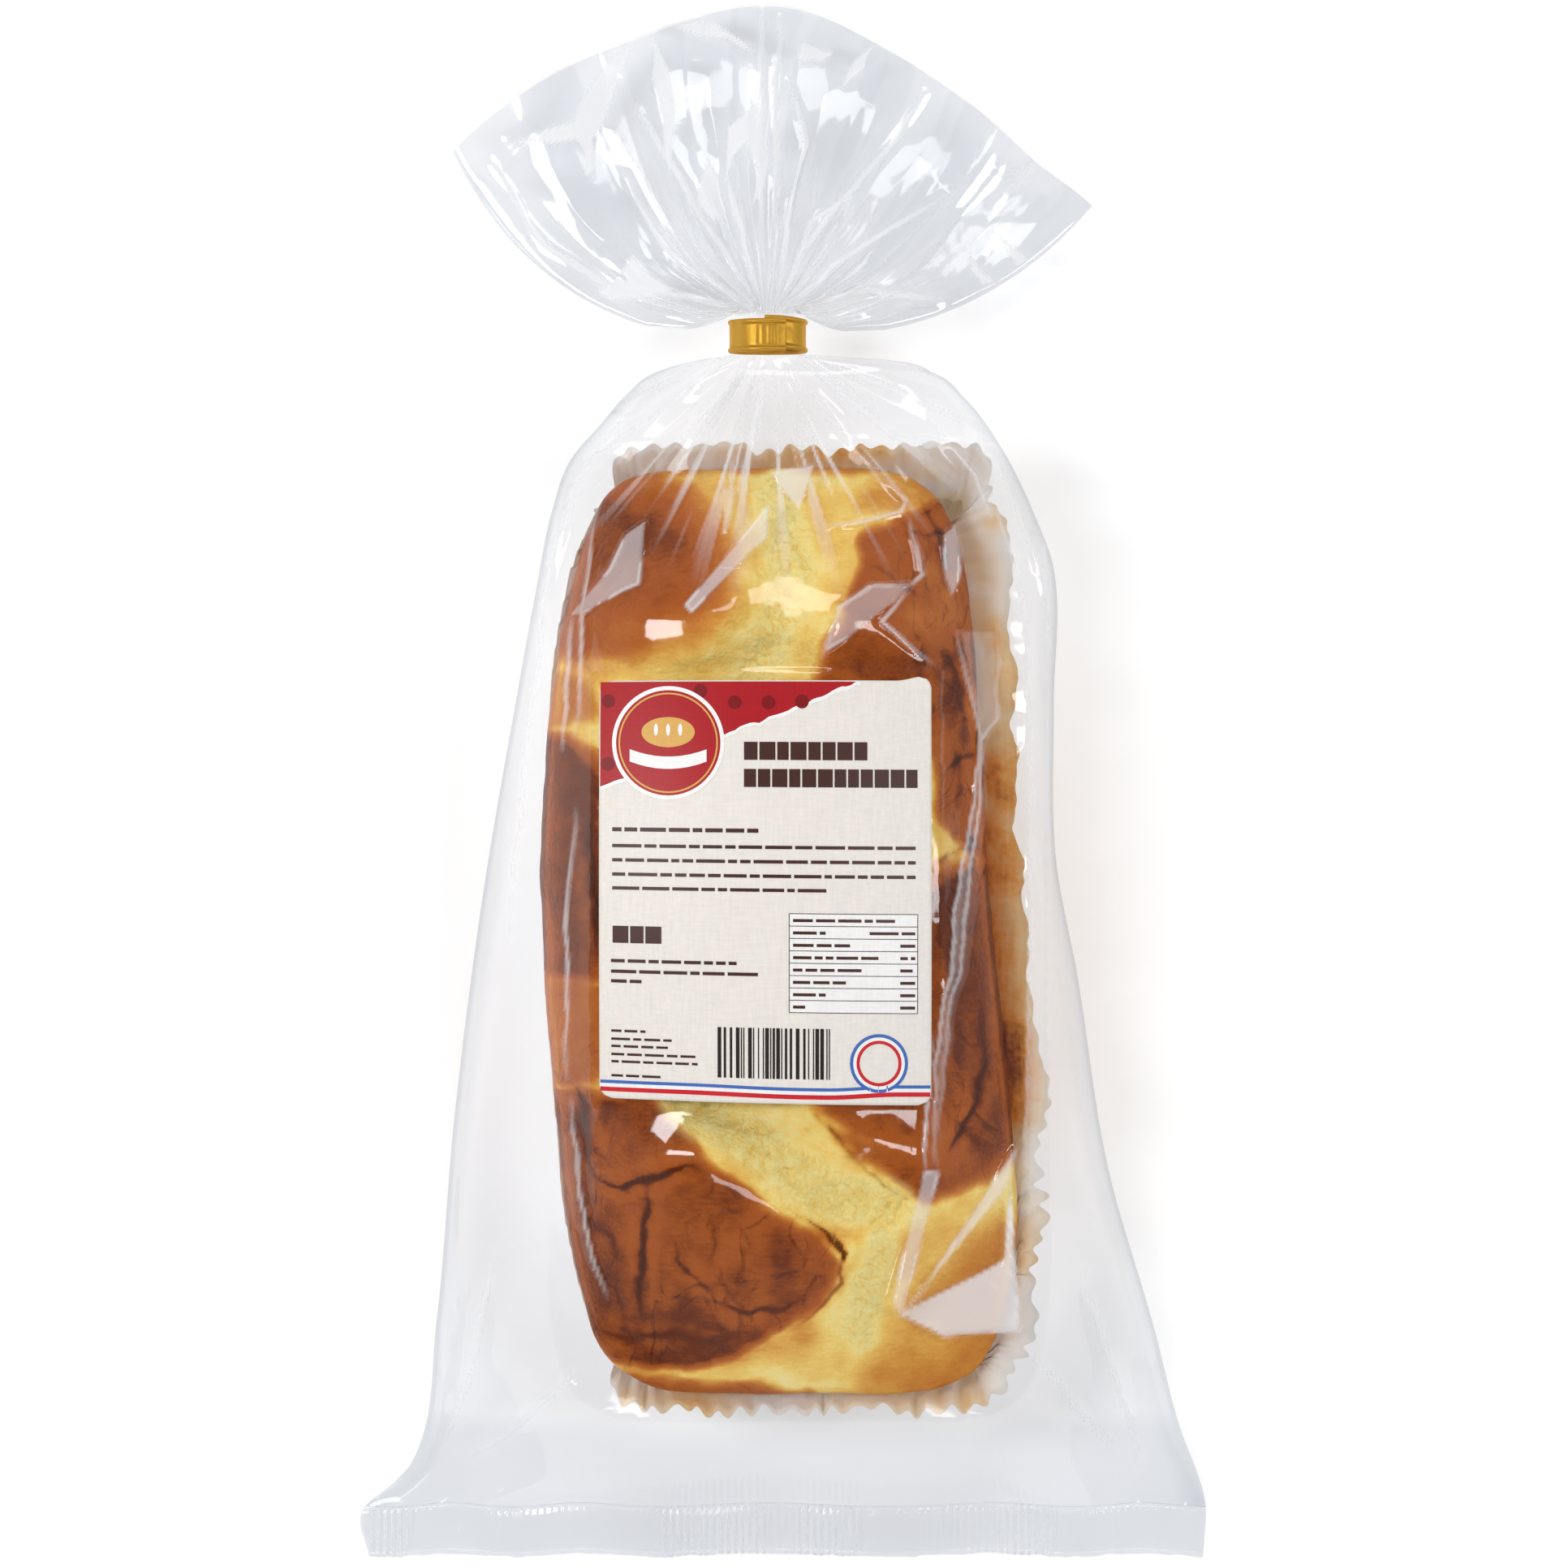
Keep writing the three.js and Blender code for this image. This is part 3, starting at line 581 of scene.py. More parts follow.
def facets(x, y, size, seed):
    """Crumpled film from -1 to 1: flat triangles about as wide as size, joined at sharp creases.

    A lattice of even triangles, bent a little by soft noise, has a random height at each
    corner, and a place inside a triangle lies on the plane through its three corners.
    """
    bent_x = x / size + 0.55 * cloud(x, y, 2.1 * size, seed + 50, 2)
    bent_y = y / size + 0.55 * cloud(x, y, 2.1 * size, seed + 60, 2)
    u, v = bent_x - bent_y / math.sqrt(3), bent_y * 2 / math.sqrt(3)
    i, j = np.floor(u).astype(int), np.floor(v).astype(int)
    s, t = u - i, v - j
    lower = lattice(i, j, seed) * (1 - s - t)
    lower = lower + lattice(i + 1, j, seed) * s + lattice(i, j + 1, seed) * t
    upper = lattice(i + 1, j + 1, seed) * (s + t - 1)
    upper = upper + lattice(i, j + 1, seed) * (1 - s) + lattice(i + 1, j, seed) * (1 - t)
    return np.where(s + t < 1, lower, upper)


def line_distance(x, y, path):
    """Distance to the nearest point of a line of straight pieces, and how far along that is.

    How far along counts the pieces, from 0 at the line's start to 1 at its end.
    """
    least = np.full(np.shape(x), np.inf)
    share = np.zeros(np.shape(x))
    for k, ((ax, ay), (bx, by)) in enumerate(zip(path, path[1:])):
        dx, dy = bx - ax, by - ay
        t = np.clip(((x - ax) * dx + (y - ay) * dy) / (dx * dx + dy * dy), 0, 1)
        away = np.hypot(x - ax - t * dx, y - ay - t * dy)
        share = np.where(away < least, (k + t) / (len(path) - 1), share)
        least = np.minimum(least, away)
    return least, share


def depth_inside(x, y, outline):
    """How deep a place lies inside a closed outline, and minus its distance where outside.

    A place is inside where a line from it to the right crosses the outline an odd number
    of times.
    """
    closed = outline + outline[:1]
    away, _ = line_distance(x, y, closed)
    inside = np.zeros(np.shape(x), bool)
    for (ax, ay), (bx, by) in zip(closed, closed[1:]):
        if ay != by:
            crossing = ax + (bx - ax) * (y - ay) / (by - ay)
            inside ^= ((ay > y) != (by > y)) & (x < crossing)
    return np.where(inside, away, -away)


def rounded(outline):
    """A closed outline with its corners rounded: each side is cut at a quarter from both ends."""
    for _ in range(2):
        points = np.array(outline, float)
        following = np.roll(points, -1, 0)
        cut = np.stack((mix(points, following, 0.25), mix(points, following, 0.75)), 1)
        outline = [tuple(point) for point in cut.reshape(-1, 2)]
    return outline


def sheet_faces(rows, columns, ring=False):
    """Four-sided faces of a grid of points, row after row. A ring joins each row's two ends."""
    k = np.arange(rows * columns).reshape(rows, columns)
    k = np.hstack((k, k[:, :1])) if ring else k
    corners = (k[:-1, :-1], k[:-1, 1:], k[1:, 1:], k[1:, :-1])
    return np.stack([corner.ravel() for corner in corners], 1)


def fan_faces(first, count, tip, outward):
    """Triangles from a closed ring of count points, which starts at first, to one tip."""
    k = np.arange(count)
    a, b = first + k, first + (k + 1) % count
    tips = np.full(count, tip)
    return np.stack((a, b, tips) if outward else (b, a, tips), 1)


def make_piece(name, points, faces, material, marks=None):
    """A mesh object at the origin from points in millimetres, lists of faces, and float marks."""
    mesh = bpy.data.meshes.new(name)
    flat = np.asarray(points, float).reshape(-1, 3) / 1000
    mesh.from_pydata(flat.tolist(), [], [face for group in faces for face in group.tolist()])
    for mark, values in (marks or {}).items():
        attribute = mesh.attributes.new(mark, "FLOAT", "POINT")
        attribute.data.foreach_set("value", np.asarray(values, np.float32).ravel())
    mesh.polygons.foreach_set("use_smooth", np.full(len(mesh.polygons), True))
    mesh.materials.append(material)
    mesh.validate()
    mesh.update()
    piece = bpy.data.objects.new(name, mesh)
    bpy.context.scene.collection.objects.link(piece)
    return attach(piece, "root")


def thicken(piece, thickness, side):
    """Give a sheet its paper's thickness in metres, outward at side 1 and inward at -1."""
    paper = piece.modifiers.new("paper", "SOLIDIFY")
    paper.thickness = thickness
    paper.offset = side


def loaf_out(x, y):
    """How far out a place lies on the loaf's outline: 0 in its middle, 1 on its widest line."""
    dx = (x - through(LOAF_MIDDLE_X, y)) / through(LOAF_HALF_WIDTH, y)
    return squared_oval(dx, (y - LOAF_MIDDLE_Y) / LOAF_HALF_LENGTH, LOAF_CORNER_POWER)


def braid_height(x, y):
    """Height of the braid: the loaf's body and an oval mound for each strand, blended softly.

    The blend is the 22nd root of the sum of the 22nd powers, close to the highest of them.
    """
    total = np.full(np.shape(x), float(LOAF_BODY_HEIGHT) ** STRAND_BLEND)
    for middle_x, middle_y, half_long, half_wide, turn, crown in STRANDS:
        c, s = math.cos(math.radians(turn)), math.sin(math.radians(turn))
        dx, dy = x - middle_x, y - middle_y
        left = 1 - ((dx * c + dy * s) / half_long) ** 2 - ((dy * c - dx * s) / half_wide) ** 2
        mound = STRAND_ROOT + (crown - STRAND_ROOT) * np.sqrt(np.clip(left, 0, 1))
        total = total + np.where(left > 0, mound, 0) ** STRAND_BLEND
    return total ** (1 / STRAND_BLEND)


def label_support(x, y):
    """Height that the stiff label holds the film at: a crest that falls off with the square."""
    dx = (x - LABEL_MIDDLE[0]) / (LABEL_SIZE[0] / 2)
    dy = (y - LABEL_MIDDLE[1]) / (LABEL_SIZE[1] / 2)
    return LABEL_CREST - LABEL_FALL[0] * dx * dx - LABEL_FALL[1] * dy * dy


def label_inside(x, y):
    """How deep a place lies inside the label's outline, in millimetres."""
    dx = LABEL_SIZE[0] / 2 - np.abs(x - LABEL_MIDDLE[0])
    dy = LABEL_SIZE[1] / 2 - np.abs(y - LABEL_MIDDLE[1])
    return np.minimum(dx, dy)


def crust_height(x, y):
    """Height of the crust from its widest line up: the braid with its brown fields swollen,
    creases cut and wrinkles, drawn down towards the loaf's outline like a rounded shoulder.
    Under the label it keeps below the film: b - k log(1 + exp((b - a) / k)) is a soft minimum.
    """
    full = braid_height(x, y)
    bent_x, bent_y = x + 1.1 * cloud(x, y, 7, 78, 3), y + 1.1 * cloud(x, y, 7, 79, 3)
    uneven = smooth(0.5 + 1.2 * cloud(x, y, 19, 80, 2))
    for outline, _, fade, rise in BROWN_FIELDS:
        depth = depth_inside(bent_x, bent_y, rounded(outline))
        reach = SWELLING_REACH[0] + SWELLING_REACH[1] * fade
        full = full + rise * (1 - np.exp(-np.maximum(depth, 0) / reach))
        groove = GROOVE_SHARE * rise * smooth((8 - fade) / 2) * uneven
        full = full - groove * np.exp(-(depth / GROOVE_WIDTH) ** 2)
    rough = np.abs(cloud(x, y, 4.2, 76, 4)) + 0.5 * cloud(x, y, 9, 77, 3)
    for path, half in CRUMB_SEAMS:
        away, _ = line_distance(x, y, path)
        torn = np.exp(-(away / half) ** 2)
        full = full - torn * (TORN_DEPTH + TORN_ROUGHNESS * rough)
    full = full - crease_cut(x, y)
    ripple = 1 - 2 * np.abs(cloud(x + 3 * cloud(x, y, 9, 71, 2), 0.7 * y, RIPPLE_SIZE, 72, 3))
    pucker = 1 - 2 * np.abs(cloud(x + 2 * cloud(x, y, 6, 83, 2), y, PUCKER_SIZE, 84, 2))
    full = full + wrinkle_share(x, y) * (ripple + PUCKER_HEIGHT * pucker)
    full = full + LUMP_HEIGHT * cloud(x, y, LUMP_SIZE, 73, 3)
    full = full + GRAIN_HEIGHT * cloud(x, y, GRAIN_SIZE, 74, 3)
    room = 9 * (1 - smooth((label_inside(x, y) + 17) / 16))
    limit = label_support(x, y) - CRUST_UNDER_LABEL + room
    full = limit - np.logaddexp(0, (limit - full) / LIMIT_SOFTNESS) * LIMIT_SOFTNESS
    out = np.clip(loaf_out(x, y), 0, 1)
    share = (1 - out ** LOAF_SIDE_POWER) ** (1 / LOAF_SIDE_POWER)
    return mix(LOAF_WIDEST_HEIGHT, full, share)


def crease_cut(x, y):
    """Depth of the creases at each place: narrow troughs between low banks.

    Both run out towards the two ends of each crease.
    """
    wander_x, wander_y = 1.1 * cloud(x, y, 5, 81, 3), 1.1 * cloud(x, y, 5, 82, 3)
    total = np.zeros(np.shape(x))
    for path, depth, width in CREASES:
        away, along = line_distance(x + wander_x, y + wander_y, path)
        left = np.sin(np.pi * np.clip(along, 0.02, 0.98)) ** 0.7
        narrow = 0.8 * width * (0.55 + 0.45 * left)
        banks = np.exp(-((away - 3 * width) / (1.6 * width)) ** 2)
        total = total + depth * left * (np.exp(-(away / narrow) ** 2) - BANK_SHARE * banks)
    return total


def wrinkle_share(x, y):
    """How deep the wrinkles are at each place: each wrinkled part fades out like a bell."""
    total = np.zeros(np.shape(x))
    for *oval, depth in WRINKLED:
        total = np.maximum(total, depth * bell(x, y, *oval))
    return total


def brown_and_rim_shade(x, y):
    """How brown the crust bakes, from 0 to 1, with painted shade towards the loaf's outline,
    and how much of it is torn crumb.
    """
    bent_x = x + 1.6 * cloud(x, y, 9, 91, 3)
    bent_y = y + 1.6 * cloud(x, y, 9, 92, 3)
    brown = BROWN_LEAST + BROWN_SPREAD * cloud(x, y, 17, 93, 3)
    for outline, level, fade, _ in BROWN_FIELDS:
        depth = depth_inside(bent_x, bent_y, rounded(outline))
        brown = np.maximum(brown, level * smooth((depth + 0.35 * fade) / (1.35 * fade)))
    brown = brown + 0.08 * cloud(x, y, 17, 94, 3) * smooth(brown * 3)
    # Painted shade: browner towards the loaf's outline, where its sides fall away from the light
    # above
    brown = brown + PAINTED_RIM_SHADE * smooth((loaf_out(x, y) - 0.7) / 0.26) * smooth(brown * 2)
    brown = brown + 0.12 * np.clip(wrinkle_share(x, y), 0, 1) * cloud(x, 0.6 * y, 6, 95, 3)
    torn = np.zeros(np.shape(x))
    for path, half in CRUMB_SEAMS:
        away, _ = line_distance(bent_x, bent_y, path)
        torn = np.maximum(torn, smooth(1.5 - away / half))
    brown = mix(brown, 0.04, torn * smooth((0.75 - brown) / 0.3))
    return np.clip(brown, 0, 1), torn


def blurred(values, reach):
    """The mean of a grid's values over a square of 2 reach + 1 points each way, done twice."""
    for _ in range(2):
        for axis in (0, 1):
            width = [(0, 0), (0, 0)]
            width[axis] = (reach + 1, reach)
            total = np.cumsum(np.pad(values, width, mode="edge"), axis)
            ahead = np.take(total, range(2 * reach + 1, total.shape[axis]), axis)
            back = np.take(total, range(0, total.shape[axis] - 2 * reach - 1), axis)
            values = (ahead - back) / (2 * reach + 1)
    return values


def painted_relief_shades(x, y, z):
    """Painted light and shade from the relief: from -1 on sharp ridges, painted lighter, to 1 in
    creases, painted as shade. It is how far the skin lies under its own blur.
    """
    sunk = 0.9 * (blurred(z, 2) - z) + 0.2 * (blurred(z, 6) - z)
    return np.clip(sunk + 0.35 * crease_cut(x, y), -1, 1)


def crust_points(columns, rows):
    """The loaf's skin, from the middle of its top over the side and in under to its base.

    The square -1 to 1 in s and t is mapped onto the rounded outline with
    x = s (1 - |t|^p / 2)^(1/p) and y likewise. Its border is the foot of the side: from the
    middle outward the skin reaches the widest line, then draws in as it goes down.
    """
    power = LOAF_CORNER_POWER
    s, t = np.meshgrid(np.linspace(-1, 1, columns), np.linspace(-1, 1, rows))
    u = s * (1 - np.abs(t) ** power / 2) ** (1 / power)
    v = t * (1 - np.abs(s) ** power / 2) ** (1 / power)
    out = squared_oval(u, v, power)
    scale = through(SKIN_REACH, out) / np.maximum(out, 1e-6)
    y = LOAF_MIDDLE_Y + LOAF_HALF_LENGTH * v * scale
    x = through(LOAF_MIDDLE_X, y) + through(LOAF_HALF_WIDTH, y) * u * scale
    z = np.where(out < SKIN_WIDEST, crust_height(x, y), through(SKIN_FALL, out))
    swell = 1 + 0.012 * cloud(x, y, 18, 75, 3) * smooth(out / 0.8)
    x = LOAF_MIDDLE_X[1][1] + (x - LOAF_MIDDLE_X[1][1]) * swell
    y = LOAF_MIDDLE_Y + (y - LOAF_MIDDLE_Y) * (1 + (swell - 1) * 0.4)
    return x, y, z


def crust_marks(x, y, z):
    """The crust's marks at each point of its skin, and last at the middle of its base.

    Low on its sides the loaf is more evenly brown, and the painted shade of creases counts for
    less in torn crumb and ends at its widest line.
    """
    brown, torn = brown_and_rim_shade(x, y)
    side = smooth((LOAF_WIDEST_HEIGHT + 6 - z) / 14)
    brown = mix(brown, BAKED_SIDE[0] + BAKED_SIDE[1] * cloud(x, y + z, 12, 96, 3), 0.7 * side)
    # Painted shade in creases and painted light on sharp ridges, ending at the widest line
    painted_relief_shade = painted_relief_shades(x, y, z) * smooth((SKIN_WIDEST - loaf_out(x, y)) * 40 + 2)
    painted_relief_shade = painted_relief_shade * (1 - 0.6 * torn)
    wrinkled = np.clip(0.25 + wrinkle_share(x, y), 0, 1)
    return {"browning_and_rim_shade": np.append(brown, BAKED_BASE), "crumb": np.append(torn, 0),
            "painted_relief_shade": np.append(painted_relief_shade, 0), "wrinkled": np.append(wrinkled, 0)}


def film_edges(y):
    """x of the bag's right and left edges."""
    return through(RIGHT_EDGE, y), through(LEFT_EDGE, y)


def film_x(across, y):
    """x of a place on the bag, from its right edge at 0 across to its left edge at 1."""
    return mix(*film_edges(y), across)


def weld_wave(across):
    """The swing of the weld across the bag, 0 to 1, in five uneven waves."""
    turns = WELD_WAVES * (across + 0.05 * np.sin(7 * across))
    return 0.5 - 0.5 * np.cos(2 * np.pi * turns)


def weld_share(y):
    """How much of the weld's swing is left at each row: all of it there, and none beyond."""
    return 1 - smooth((y - WELD_EDGE_Y - WELD_DEPTH) / SWING_FADE)


def neck_bulge(across):
    """Half the neck's height: half an oval across its width."""
    side = 2 * across - 1
    return np.maximum(FILM_STEP / 2, NECK_HALF_HEIGHT * np.sqrt(np.maximum(0, 1 - side * side)))


def underside(across, y):
    """The lower film: flat under the case, rising to the side folds with the distance beyond
    it to the power 1.6, and up to the neck at the gathered end.
    """
    right, left = film_edges(y)
    x = mix(right, left, across)
    on_right = across < 0.5
    half = np.where(on_right, right - CASE_MIDDLE[0], CASE_MIDDLE[0] - left)
    fold = np.where(on_right, through(RIGHT_FOLD, y), through(LEFT_FOLD, y))
    flat = np.minimum(CASE_FLOOR_HALF_WIDTH, half - WING_LEAST_WIDTH)
    beyond = np.clip((np.abs(x - CASE_MIDDLE[0]) - flat) / (half - flat), 0, 1)
    wing = (fold - FILM_STEP / 2) * beyond ** 1.6
    neck = NECK_Z - neck_bulge(across)
    rising = smooth((y - UNDERSIDE_RISE_Y) / (NECK_Y - NECK_LENGTH / 2 - UNDERSIDE_RISE_Y))
    waving = WELD_LIFT * weld_wave(across) * weld_share(y)
    return np.maximum(0, mix(wing, neck, rising)) + waving


def contents_height(x, y):
    """Height of what the upper film lies on: the label's film, the crust, the case or nothing."""
    out = loaf_out(x, y)
    crust = np.where(out < 1.02, crust_height(x, y), 0)
    dx = (x - CASE_MIDDLE[0]) / (CASE_HALF[0] + 1)
    dy = (y - CASE_MIDDLE[1]) / (CASE_HALF[1] + 1)
    in_case = squared_oval(dx, dy, CASE_CORNER_POWER) < 1
    height = spread_up(np.maximum(crust, np.where(in_case, CASE_RIM_HEIGHT, 0))) + 0.5
    return np.where(label_inside(x, y) > -LABEL_HOLD, label_support(x, y), height)


def spread_up(height):
    """The highest value among each point of a grid and its eight neighbours."""
    for axis in (0, 1):
        ahead, back = np.roll(height, -1, axis), np.roll(height, 1, axis)
        height = np.maximum(height, np.maximum(ahead, back))
    return height


def settled_film(columns, rows):
    """The upper film as a taut skin over the contents, at rows by columns points.

    Its edges are fixed at the side folds, the weld and the neck. Every other point settles to
    the weighted mean of its four neighbours, or onto what it lies on. A coarse grid settles
    first, and each finer one starts from it.
    """
    height = None
    for level in reversed(range(len(SETTLING_ROUNDS))):
        n_across, n_along = columns // 2 ** level, rows // 2 ** level
        across, y = np.meshgrid(np.linspace(0, 1, n_across + 1), film_rows(n_along))
        x = film_x(across, y)
        floor = underside(across, y) + FILM_STEP
        least = np.maximum(floor, contents_height(x, y))
        fixed = (across == 0) | (across == 1) | (y < WELD_EDGE_Y + WELD_DEPTH + 0.01)
        least = np.where(fixed, floor, least)
        fixed |= label_inside(x, y) > -LABEL_HOLD
        least[-1] = NECK_Z + neck_bulge(across[-1])
        fixed[-1] = True
        if height is None:
            height = least.copy()
        else:
            height = np.maximum(least, finer(height))
            height[fixed] = least[fixed]
        wide = np.abs(x[1:-1, 2:] - x[1:-1, :-2]) / 2
        back, ahead = y[1:-1, 1:-1] - y[:-2, 1:-1], y[2:, 1:-1] - y[1:-1, 1:-1]
        over = 1 / wide ** 2
        behind, before = 2 / (back * (back + ahead)), 2 / (ahead * (back + ahead))
        total = 2 * over + behind + before
        parity = (np.arange(n_along - 1)[:, None] + np.arange(n_across - 1)[None, :]) % 2
        loose = ~fixed[1:-1, 1:-1]
        for _ in range(SETTLING_ROUNDS[level]):
            for colour in (0, 1):
                middle = height[1:-1, 1:-1]
                mean = over * (height[1:-1, :-2] + height[1:-1, 2:])
                mean = (mean + behind * height[:-2, 1:-1] + before * height[2:, 1:-1]) / total
                moved = np.maximum(least[1:-1, 1:-1], middle + SETTLING_STEP * (mean - middle))
                height[1:-1, 1:-1] = np.where(loose & (parity == colour), moved, middle)
    return x, y, across, height, least


def film_rows(count):
    """y of the rows of the bag's body from the weld to the neck, closer towards the neck."""
    t = np.linspace(0, 1, count + 1)
    return mix(WELD_EDGE_Y + WELD_DEPTH, NECK_Y - NECK_LENGTH / 2, t + 0.09 * np.sin(np.pi * t))


def finer(height):
    """The same surface on a grid twice as fine: each new point is the mean of its neighbours."""
    wide = np.repeat(height, 2, 1)[:, :-1]
    wide[:, 1::2] = (height[:, :-1] + height[:, 1:]) / 2
    fine = np.repeat(wide, 2, 0)[:-1]
    fine[1::2] = (wide[:-1] + wide[1:]) / 2
    return fine


def film_relief(x, y, settled, above):
    """What the film's own creases add to its settled height, and its painted highlight, 0 to 1.

    Small facets and sharp creases stand proud where the film is loose, pleats run out of the
    neck, and each large facet is a leaning plane with a painted highlight and a brighter painted
    rim. Creases and the rays from the neck get painted highlights too. Veils are painted highlight
    alone, and nothing of all this is left under the stiff label. above is the room over the
    contents.
    """
    loose = 0.3 + 0.7 * smooth(above / LOOSE_ROOM)
    relief = loose * (FACET_HEIGHTS[0] * facets(x, 0.45 * y, FACET_SIZES[0], 11)
                      + FACET_HEIGHTS[1] * facets(x, 0.5 * y, FACET_SIZES[1], 12))
    painted_highlight = np.zeros(np.shape(x))
    bent_x = x + 0.8 * cloud(x, y, 11, 18, 2)
    for path, rise, width in FILM_CREASES:
        away, along = line_distance(bent_x, y, path)
        left = run_out(along, 0.01)
        relief = relief + rise * left * np.maximum(0, 1 - away / width)
        # Painted highlight along each crease
        painted_highlight = np.maximum(painted_highlight, CREASE_PAINTED_HIGHLIGHT * left * smooth(1.5 - away / 0.5))
    angle = np.degrees(np.arctan2(y - NECK_Y, x - NECK_X))
    near = np.hypot(x - NECK_X, y - NECK_Y)
    pleat = zigzag(angle / 13 + 0.7 * np.sin(angle / 19)) * 2 - 1
    pull = smooth((75 - near) / 60) * smooth((near - 3) / 14)
    relief = relief + PULL_HEIGHT * pull * (pleat + 0.5 * facets(angle * 0.6, near * 0.25, 5, 14))
    rays = cloud(angle * 0.9, near * 0.05, 2.4, 19, 3)
    # Painted highlight in the rays from the neck
    painted_highlight = np.maximum(painted_highlight, PULL_PAINTED_HIGHLIGHT * pull * smooth(2.6 * rays - 0.4))
    broken = smooth(0.3 + 1.6 * cloud(x, y, 8, 20, 2))
    for outline, (lean_x, lean_y), painted_white in FILM_FACETS:
        depth = depth_inside(x, y, outline)
        middle_x, middle_y = np.mean(outline, 0)
        level = settled[depth > -FACET_REACH].mean() + FACET_RISE
        plane = level - lean_x * (x - middle_x) - lean_y * (y - middle_y)
        relief = mix(relief, plane - settled, smooth(depth + 1))
        # Painted highlight on each facet, brighter on its rim
        painted_highlight = np.maximum(painted_highlight, painted_white * smooth((depth + 0.6) / 0.8))
        rim = smooth(1 - np.abs(depth) / 0.9) * broken
        painted_highlight = np.maximum(painted_highlight, (painted_white + RIM_PAINTED_HIGHLIGHT) * rim)
    # Painted highlight of the veils
    for outline, painted_white in PAINTED_FILM_VEILS:
        painted_highlight = np.maximum(painted_highlight, painted_white * smooth((depth_inside(x, y, outline) + 0.5) / 1.2))
    calm = smooth((label_inside(x, y) + 1) / 5)
    return relief * (1 - calm), painted_highlight * (1 - calm)


def swung(across, y):
    """y of a place on the bag, once it has swung with the weld."""
    return y + WELD_SWING * weld_wave(across) * weld_share(y)


def lower_film(rows, ends):
    """Points of the bag's lower film, from left to right between its two edges.

    It is crumpled a little beside the case, where the share ends leaves it loose.
    """
    across, y = np.meshgrid(np.linspace(1, 0, FILM_UNDER_COLUMNS + 1)[1:-1], rows)
    x = film_x(across, y)
    taut = underside(across, y)
    loose = smooth((np.abs(x - CASE_MIDDLE[0]) - CASE_HALF[0] + 4) / 10) * ends
    loose = loose * smooth(across * (1 - across) * 20)
    crumpled = taut + LOOSE_HEIGHT * loose * (1 + facets(x, y, 18, 15))
    return np.stack((x, swung(across, y), np.minimum(crumpled, taut + FILM_STEP * 0.8)), 2)


def film_surface():
    """The bag's two films between the weld and the neck, as closed rings from row to row.

    With the points come two marks: the film's painted highlight, and how doubled it is, which is
    most along its edges, past the loaf's lower end and near the neck. Both are 0 on the lower film.
    """
    x, y, across, settled, least = settled_film(FILM_COLUMNS, FILM_ROWS)
    edge = np.minimum(*(np.abs(x - line) for line in film_edges(y)))
    ends = smooth((y - WELD_EDGE_Y - WELD_DEPTH) / 12) * smooth((NECK_Y - 5 - y) / 8)
    relief, painted_highlight = film_relief(x, y, settled, settled - least)
    relief = relief * smooth(edge / 5) * ends
    above = label_inside(x, y) > -LABEL_HOLD / 2
    top = np.where(above, settled, np.maximum(least - 0.1, settled + relief))
    top = np.minimum(top, FILM_CEILING)
    lower = lower_film(y[:, 0], ends[:, :1])
    side_fold = smooth(1 - np.abs(edge - 4) / 3) * smooth((40 - np.abs(y + 10)) / 20)
    # Painted highlight along the side folds
    painted_highlight = np.maximum(painted_highlight, SIDE_FOLD_PAINTED_HIGHLIGHT * side_fold)
    points = np.concatenate((np.stack((x, swung(across, y), top), 2), lower), 1)
    doubled = np.maximum.reduce((
        DOUBLED_WING * smooth((np.abs(x) - WING_START_X) / 12),
        DOUBLED_BELOW * smooth((BELOW_START_Y - y) / 10),
        DOUBLED_NECK * smooth((y - NECK_START_Y) / 12),
        DOUBLED_EDGE * smooth(1.25 - edge / 1.8)))
    doubled = np.clip(doubled + 0.2 * np.maximum(0, facets(x, 0.6 * y, 30, 21)), 0, 1)
    plain = np.zeros(lower.shape[:2])
    return points, np.hstack((painted_highlight, plain)), np.hstack((doubled, plain))


def case_outline(count):
    """Evenly spaced points of the case's rim outline, a rounded rectangle, and outward normals."""
    angle = np.linspace(0, 2 * np.pi, OUTLINE_STEPS + 1)[:-1]
    c, s = np.cos(angle), np.sin(angle)
    reach = 1 / squared_oval(c, s, CASE_CORNER_POWER)
    x, y = CASE_HALF[0] * reach * c, CASE_HALF[1] * reach * s
    steps = np.hypot(np.roll(x, -1) - x, np.roll(y, -1) - y)
    gone = np.concatenate(([0], np.cumsum(steps)))
    at = np.linspace(0, gone[-1], count + 1)[:-1]
    x = np.interp(at, gone, np.append(x, x[0]))
    y = np.interp(at, gone, np.append(y, y[0]))
    dx, dy = np.roll(x, -1) - np.roll(x, 1), np.roll(y, -1) - np.roll(y, 1)
    length = np.hypot(dx, dy)
    return x + CASE_MIDDLE[0], y + CASE_MIDDLE[1], dy / length, -dx / length


